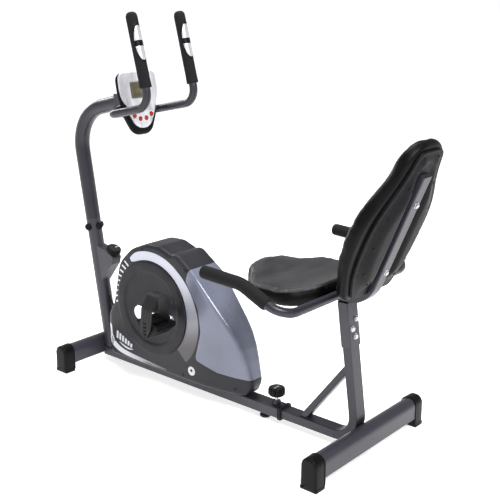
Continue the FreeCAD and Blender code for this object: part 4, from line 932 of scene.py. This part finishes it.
def sweep(name, path, radius_at, material, segments=48):
    """Tube along a path with a radius that varies with distance, closed at both ends."""
    verts, rows = [], []
    travelled, up = 0.0, Vector((0, 1, 0))
    for i, p in enumerate(path):
        run = (path[min(i + 1, len(path) - 1)] - path[max(i - 1, 0)]).normalized()
        side = run.cross(up).normalized()
        up = side.cross(run).normalized()
        if i:
            travelled += (p - path[i - 1]).length
        r = radius_at(travelled)
        rows.append(list(range(len(verts), len(verts) + segments)))
        for a in (TURN * k / segments for k in range(segments)):
            verts.append(at(*(p + (side * math.cos(a) + up * math.sin(a)) * r)))
    faces = [quad for lower, upper in zip(rows, rows[1:]) for quad in band(lower, upper)]
    return mesh_object(name, verts, faces + [rows[0][::-1], rows[-1]], material)


def side_grip_radius(s, total):
    """Foam radius at a distance along a side grip: round front end, slight wave, chamfered rear."""
    if s < 9:
        return 17.9 - 7.0 * (1 - math.sqrt(max(0.0, 1 - ((9 - s) / 9) ** 2)))
    if total - s < 3:
        return 18.2 - (3 - (total - s)) * 0.5
    return FOAM_RADIUS + 0.2 * math.sin(min(s, total - s) / 22)


side_grips = []
for y in (-300, 300):
    route = bend_path([(157, y, 541.3), (296, y, 535), (381, y, 497.5)], [110], 4)
    total = sum((b - a).length for a, b in zip(route, route[1:]))
    side_grips.append(sweep("side_grip", route, lambda s: side_grip_radius(s, total), FOAM))
side_pair = joined("side_grip_pair", *side_grips)
piece(side_pair, "rear_frame", "foam", "side_grips")


# ---- console

CONSOLE_TILT = math.radians(-9.5)
BUTTONS = [(-36, 42), (-12.5, 31), (12.5, 31), (36, 42)]
HALO = [(8.6, -2), (11.2, -2), (11.2, 0.25), (10.6, 0.5), (9.2, 0.5), (8.6, 0.2), (8.6, -2)]
KEY = [(0, -4.8), (7.8, -4.8), (7.8, 1.2), (7.4, 2.2), (6.4, 2.9), (3.5, 3.3), (0, 3.45)]


def on_console(a, b, h):
    """Console-local point: a across, b up the face, h out of the face."""
    c, s = math.cos(CONSOLE_TILT), math.sin(CONSOLE_TILT)
    return -373 + h * c + b * s, a, 843 - h * s + b * c


def console_outline(grow, chin, corner):
    wide, top, low = 80 + grow, 178 + grow, -grow - chin
    flare = 57 + grow + 0.55 * chin
    half = [(-0.36 * wide - 0.45 * chin, low), (-flare, low + 0.30 * (top - low)),
            (-wide, 0.62 * top), (-wide, top)]
    return mirrored(half, [44, 56, 80, corner])


def mark(a0, b0, a1, b1, cell, spacing):
    """Dark patch on the display."""
    return slab("mark", rect(a0, b0, a1, b1), -1.2, -0.75, 0.1, INK, on_console, cell, spacing)


face_normal = tuple(Vector(on_console(0, 0, 1)) - Vector(on_console(0, 0, 0)))
plate = slab("console_plate", console_outline(-1, 0, 20), -9, -0.8, 3.2, SILVER, on_console,
             cell=12, crown=lambda a, b: 0.8 * (1 - (a / 80) ** 2))
cut(plate, slab("notch", circle((-78, 66), 19, 32), -20, 8, 1, SILVER, on_console, cell=40))
cut(plate, slab("recess", rect(-38, 93, 38, 149, 4), -2.6, 6, 0.8, SILVER, on_console, cell=40))
for a, b in BUTTONS:
    cut(plate, lathe("button_bore", round_profile(8.4, -14, 5, 0.3), on_console(a, b, 0),
                     face_normal, BLACK, 48))
tidy(plate, 30)
halos = [lathe("halo", HALO, on_console(a, b, 0), face_normal, PALE, 48) for a, b in BUTTONS]
piece(joined("console_face_plate", plate, *halos), "base", "silver", "console_face")
boss = slab("notch_boss", circle((-76, 66), 15, 32), -20, -2.5, 2.5, BLACK, on_console, cell=40)
back = slab("console_rear_body", console_outline(-0.5, 20, 24), -24, -6.5, 9, BLACK, on_console,
            cell=14)
piece(joined("console_rear_shell", back, boss), "base", "black", "console_back")
glass = slab("console_window", rect(-35, 96, 35, 146, 2.5), -3.4, -0.9, 0.6, LENS, on_console,
             cell=14)
marks = []
for k in range(9):
    low, tall = -27 + 6.2 * k, 4 + 3.4 * abs(math.sin(k * 1.1 + 0.5)) * 3
    marks.append(mark(low, 101, low + 4, 101 + tall, 60, 30))
for b, a0, a1 in ((139, -29, 29), (127, -29, 4), (133, -29, 18)):
    marks.append(mark(a0, b, a1, b + 1.6, 80, 60))
piece(joined("console_window_set", glass, *marks), "base", "lens", "display_window")
for number, (a, b) in enumerate(BUTTONS, start=1):
    key = lathe("button_key_%d" % number, KEY, on_console(a, b, 0), face_normal, RED, 48)
    piece(key, "button_%d" % number, "red", "console_button_%d" % number)


# ---- seat and backrest

SEAM_DROP = 2.4         # how far the sewn edge lies below the cushion's top
PUFF_LIMIT = 5 * MM
CLOTH_FRAMES = 20


def cushion(name, outline, rings, top_at, low, place, cell, lift=0.0):
    """Padded cushion: a top panel sewn to a boxed side along the first ring. Each ring is
    (inset, share of the height) from the seam down to the base. The base's middle is lifted.
    Returns the object and the seam."""
    loop = spread(outline, 7)
    seam = inset(loop, rings[0][0])
    points, faces, _ = sheet_mesh(seam, [2.2, 6.0, 12.0], cell)
    verts = [Vector((p.x, p.y, top_at(p.x, p.y))) for p in points]
    count = len(loop)
    for v in verts[:count]:
        v.z -= SEAM_DROP
    previous = range(count)
    for step, share in rings[1:]:
        now = range(len(verts), len(verts) + count)
        verts += [Vector((p.x, p.y, low + (v.z - low) * (1 - share)))
                  for p, v in zip(inset(loop, step), verts)]
        faces += band(previous, now, reverse=True)
        previous = now
    base, base_faces, _ = sheet_mesh([Vector(verts[i].to_2d()) for i in previous], [10.0], cell * 1.6)
    start = len(verts)
    verts += [Vector((p.x, p.y, low + (lift if i >= count else 0))) for i, p in enumerate(base)]
    faces += [[start + i for i in reversed(f)] for f in base_faces]
    obj = mesh_object(name, [at(*place(*v)) for v in verts], faces, VINYL_TOP, 70)
    obj.data.materials.append(VINYL)
    return obj, as_array(seam)


def puff(obj, held, pressure=4.0):
    """Cloth under pressure with its base held; movement is limited so the shape stays true."""
    start = [v.co.copy() for v in obj.data.vertices]
    group = obj.vertex_groups.new(name="held")
    group.add([v.index for v in obj.data.vertices if held(v.co)], 1.0, "REPLACE")
    cloth = obj.modifiers.new("cloth", "CLOTH")
    cloth.settings.vertex_group_mass = "held"
    cloth.settings.use_pressure = True
    cloth.settings.uniform_pressure_force = pressure
    cloth.settings.effector_weights.gravity = 0
    cloth.settings.quality = 6
    cloth.settings.bending_stiffness = 2.0
    cloth.point_cache.frame_start = 1
    cloth.point_cache.frame_end = CLOTH_FRAMES
    for number in range(1, CLOTH_FRAMES + 1):
        scene.frame_set(number)
    bake(obj)
    scene.frame_set(1)
    for v, was in zip(obj.data.vertices, start):
        move = v.co - was
        if move.length > PUFF_LIMIT:
            v.co = was + move.normalized() * PUFF_LIMIT
    obj.vertex_groups.clear()


def finish_cushion(obj, inside, held, node_name):
    """Look of the top panel where inside(face) holds, then the cloth run and one subdivision."""
    for f in obj.data.polygons:
        f.material_index = 0 if inside(f) else 1
    puff(obj, held)
    mod = obj.modifiers.new("soft", "SUBSURF")
    mod.levels = mod.render_levels = 1
    bake(obj)
    for f in obj.data.polygons:
        f.use_smooth = True
    piece(obj, "rear_frame", "vinyl", node_name)


SEAT_PLAN = rounded([(112, -62), (217, -188), (344, -188), (414, -118), (414, 118), (344, 188),
                     (217, 188), (112, 62)], [50, 50, 70, 60, 60, 70, 50, 50])
SEAT_RINGS = [(5, 0), (1.5, 0.12), (0, 0.35), (0.5, 0.62), (4, 0.84), (11, 0.97), (18, 1.0)]


def seat_top(x, y):
    """Saddle: low in the middle, rising to the back, with a raised nose between falling front
    corners."""
    level = 486 + 4 * (y / 188.0) ** 2 + 19 * (max(0.0, x - 296) / 112.0) ** 2
    nose = math.exp(-(y / 92.0) ** 2) * smoothstep(232, 124, x)
    return level + 22 * nose - 5 * smoothstep(124, 112, x)


seat, seat_seam = cushion("seat_pad", SEAT_PLAN, SEAT_RINGS, seat_top, 449, lambda a, b, h: (a, b, h),
                          11, lift=9.5)
finish_cushion(seat, lambda f: f.normal.z > 0.1 and f.center.z > 475 * MM and within(
    seat_seam, f.center.x / MM - ORIGIN_SHIFT, f.center.y / MM), lambda co: co.z < 470 * MM,
    "seat_cushion")

BACK_LEAN = math.radians(22.7)
BACK_WRAP = 5000.0      # both faces of the backrest curve forwards by a * a / BACK_WRAP
BACK_RINGS = [(7, 0), (2, 0.12), (0, 0.38), (1, 0.65), (4.5, 0.86), (11, 0.98), (17, 1.0)]
CUSHION_EDGE = mirrored([(112, 16), (174, 150), (177, 268), (97, 400), (78, 484)],
                        [40, 220, 200, 120, 78])
SHELL_EDGE = mirrored([(92, 30), (137, 120), (139, 270), (72, 400), (58, 466)],
                      [20, 220, 200, 250, 34])
SHELL_RIM = as_array(SHELL_EDGE)
SHELL_TOP = 10.5


def on_back(a, b, h):
    """Backrest-local point: a across, b up the rest, h forwards."""
    c, s, h = math.cos(BACK_LEAN), math.sin(BACK_LEAN), h + a * a / BACK_WRAP
    return 488 + b * s - h * c, a, 451 + b * c + h * s


def on_shell(a, b, h):
    """The same with h rearwards from the shell's inner face."""
    return on_back(a, b, 14 - h)


BACK_BASE = Vector(on_back(0, 0, 0))
BACK_UP = Vector((math.sin(BACK_LEAN), 0, math.cos(BACK_LEAN)))
FORWARD = Vector(on_back(0, 0, 1)) - BACK_BASE


def back_local(co):
    """The a, b and h of a point in the frame."""
    p = Vector((co.x / MM - ORIGIN_SHIFT, co.y / MM, co.z / MM)) - BACK_BASE
    return p.y, p.dot(BACK_UP), p.dot(FORWARD) - p.y * p.y / BACK_WRAP


def shell_bulge(a, b):
    """How far the backrest's plastic shell stands out rearwards: full beside the bar, flush at its
    rim, with a groove just inside it."""
    d = distance_to(SHELL_RIM, a, b)
    full = 16.0 * smoothstep(6, 54, d)
    channel = smoothstep(27, 52, math.hypot(a, max(0.0, b - 398)))
    groove = -1.2 * math.exp(-((d - 7.5) / 1.8) ** 2)
    return full * channel * smoothstep(30, 110, b) + groove


rest, rest_seam = cushion("back_pad", CUSHION_EDGE, BACK_RINGS,
                          lambda a, b: 47 + 3 * smoothstep(60, 200, abs(a)), 11.5, on_back, 12)
finish_cushion(rest, lambda f: f.normal.dot(FORWARD) > 0.1 and back_local(f.center)[2] > 30
               and within(rest_seam, *back_local(f.center)[:2]),
               lambda co: back_local(co)[2] < 20, "back_cushion")
shell = slab("backrest_shell", SHELL_EDGE, 1.5, SHELL_TOP, 2.5, REAR_SHELL, on_shell,
             cell=7, crown=shell_bulge)
SHELL_SCREW = [(0, -3), (5.2, -3), (5.2, 0.3), (4.6, 0.6), (3.6, 0.6), (3.0, -1.6), (0, -1.6)]
shell_screws = [lathe("screw", SHELL_SCREW, on_shell(a, b, SHELL_TOP + shell_bulge(a, b)),
                      tuple(-FORWARD), BLACK, 20)
                for a, b in [(-96, 120), (-104, 200), (-92, 285), (-54, 368), (96, 120), (104, 200),
                             (92, 285), (54, 368), (-66, 84), (-54, 88), (62, 84), (-32, 445),
                             (32, 445)]]
piece(joined("backrest_shell_set", shell, *shell_screws), "rear_frame", "shell", "back_shell")


# ---- stabilizer end caps

CAP_DEEP = 42


def end_caps(cap_node, body):
    """Boot-shaped plastic caps on both ends of a stabilizer, domed on top with a foot flange."""
    low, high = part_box(cap_node)
    middle = (low[0] + high[0]) / 2 / MM - ORIGIN_SHIFT
    half, reach, tall = (high[0] - low[0]) / 2 / MM, high[1] / MM, high[2] / MM
    parts = []
    for side in (-1, 1):
        def place(a, b, h):
            narrowed = a * (1 - 0.0008 * max(0.0, h) * b / tall)
            return middle + narrowed, side * (reach - CAP_DEEP + h), b

        parts += [slab("cap", rect(-half + 1, 0, half - 1, tall, 3, 24), 0, CAP_DEEP, 7, BLACK, place,
                       cell=16, spacing=5),
                  slab("flange", rect(-half, 0, half, 12, 2, 4), 1, CAP_DEEP - 0.5, 3, BLACK, place,
                       cell=30, spacing=8),
                  slab("collar", rect(-half + 0.2, 8, half - 0.2, tall + 0.3, 3, 24.5), -0.3, 5, 1,
                       BLACK, place, cell=30)]
    piece(joined(cap_node + "_visual", *parts), body, "black", cap_node)


end_caps("front_end_caps", "base")
end_caps("rear_end_caps", "rear_frame")


# ---- studio

FLOOR_HALF = 60
WHITE = (1, 1, 1, 1)
floor_look = shader("studio_floor", (0.86, 0.86, 0.86), 0.6, mottle=0.004, mottle_scale=2, grain=60,
                    depth=0.01, specular=0.1)
tree = floor_look.node_tree
away = node(tree, "VectorMath", "Value", {0: node(tree, "TexCoord", "Object")}, operation="LENGTH")
glow = node(tree, "MapRange", "Result", {"Value": away, "From Min": 1.0, "From Max": 4.5,
                                         "To Min": 0.68, "To Max": 0.80})
feed(tree, tree.nodes["Principled BSDF"].inputs["Emission Color"], WHITE)
feed(tree, tree.nodes["Principled BSDF"].inputs["Emission Strength"], glow)
floor_mesh = bpy.data.meshes.new("studio_floor")
floor_mesh.from_pydata([(x * FLOOR_HALF, y * FLOOR_HALF, -0.0005)
                        for x, y in ((-1, -1), (1, -1), (1, 1), (-1, 1))], [], [(0, 1, 2, 3)])
floor_mesh.materials.append(floor_look)
floor = add_object("studio_floor", floor_mesh)
floor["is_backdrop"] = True


def area_light(name, place, target, size, watts):
    data = bpy.data.lights.new(name, "AREA")
    data.shape = "RECTANGLE"
    data.size, data.size_y = size
    data.energy = watts
    lamp = add_object(name, data)
    lamp.location = place
    lamp.rotation_euler = (Vector(target) - Vector(place)).to_track_quat("-Z", "Y").to_euler()
    lamp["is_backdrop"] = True


area_light("key", (2.3, -1.0, 2.9), (0, 0, 0.5), (1.3, 1.0), 112)
area_light("overhead", (-0.5, 0.3, 3.4), (-0.2, 0, 0.4), (1.6, 1.4), 75)
area_light("near_fill", (-0.6, -3.2, 1.3), (-0.1, 0, 0.5), (1.8, 1.2), 6)
area_light("front_rim", (-2.8, 0.6, 1.9), (-0.3, 0, 0.6), (0.8, 1.8), 35)
scene.world = bpy.data.worlds.new("studio")
scene.world.use_nodes = True
tree = scene.world.node_tree
height = node(tree, "SeparateXYZ", "Z", {"Vector": node(tree, "TexCoord", "Generated")})
sky = node(tree, "MapRange", "Result", {"Value": height, "From Min": 0.0, "From Max": 0.30,
                                        "To Min": 1.0, "To Max": 0.36})
feed(tree, tree.nodes["Background"].inputs["Strength"], sky)
feed(tree, tree.nodes["Background"].inputs["Color"], WHITE)

camera_data = bpy.data.cameras.new("photo_camera")
camera_data.lens = 65.2
camera_data.sensor_width = 36
camera_data.clip_end = 60
camera = add_object("photo_camera", camera_data)
camera.location = (1.779, -1.9692, 1.25)
camera.rotation_euler = (math.radians(74.277), 0, math.radians(40.597))
scene.camera = camera
scene.view_settings.view_transform = "Standard"

low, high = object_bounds()
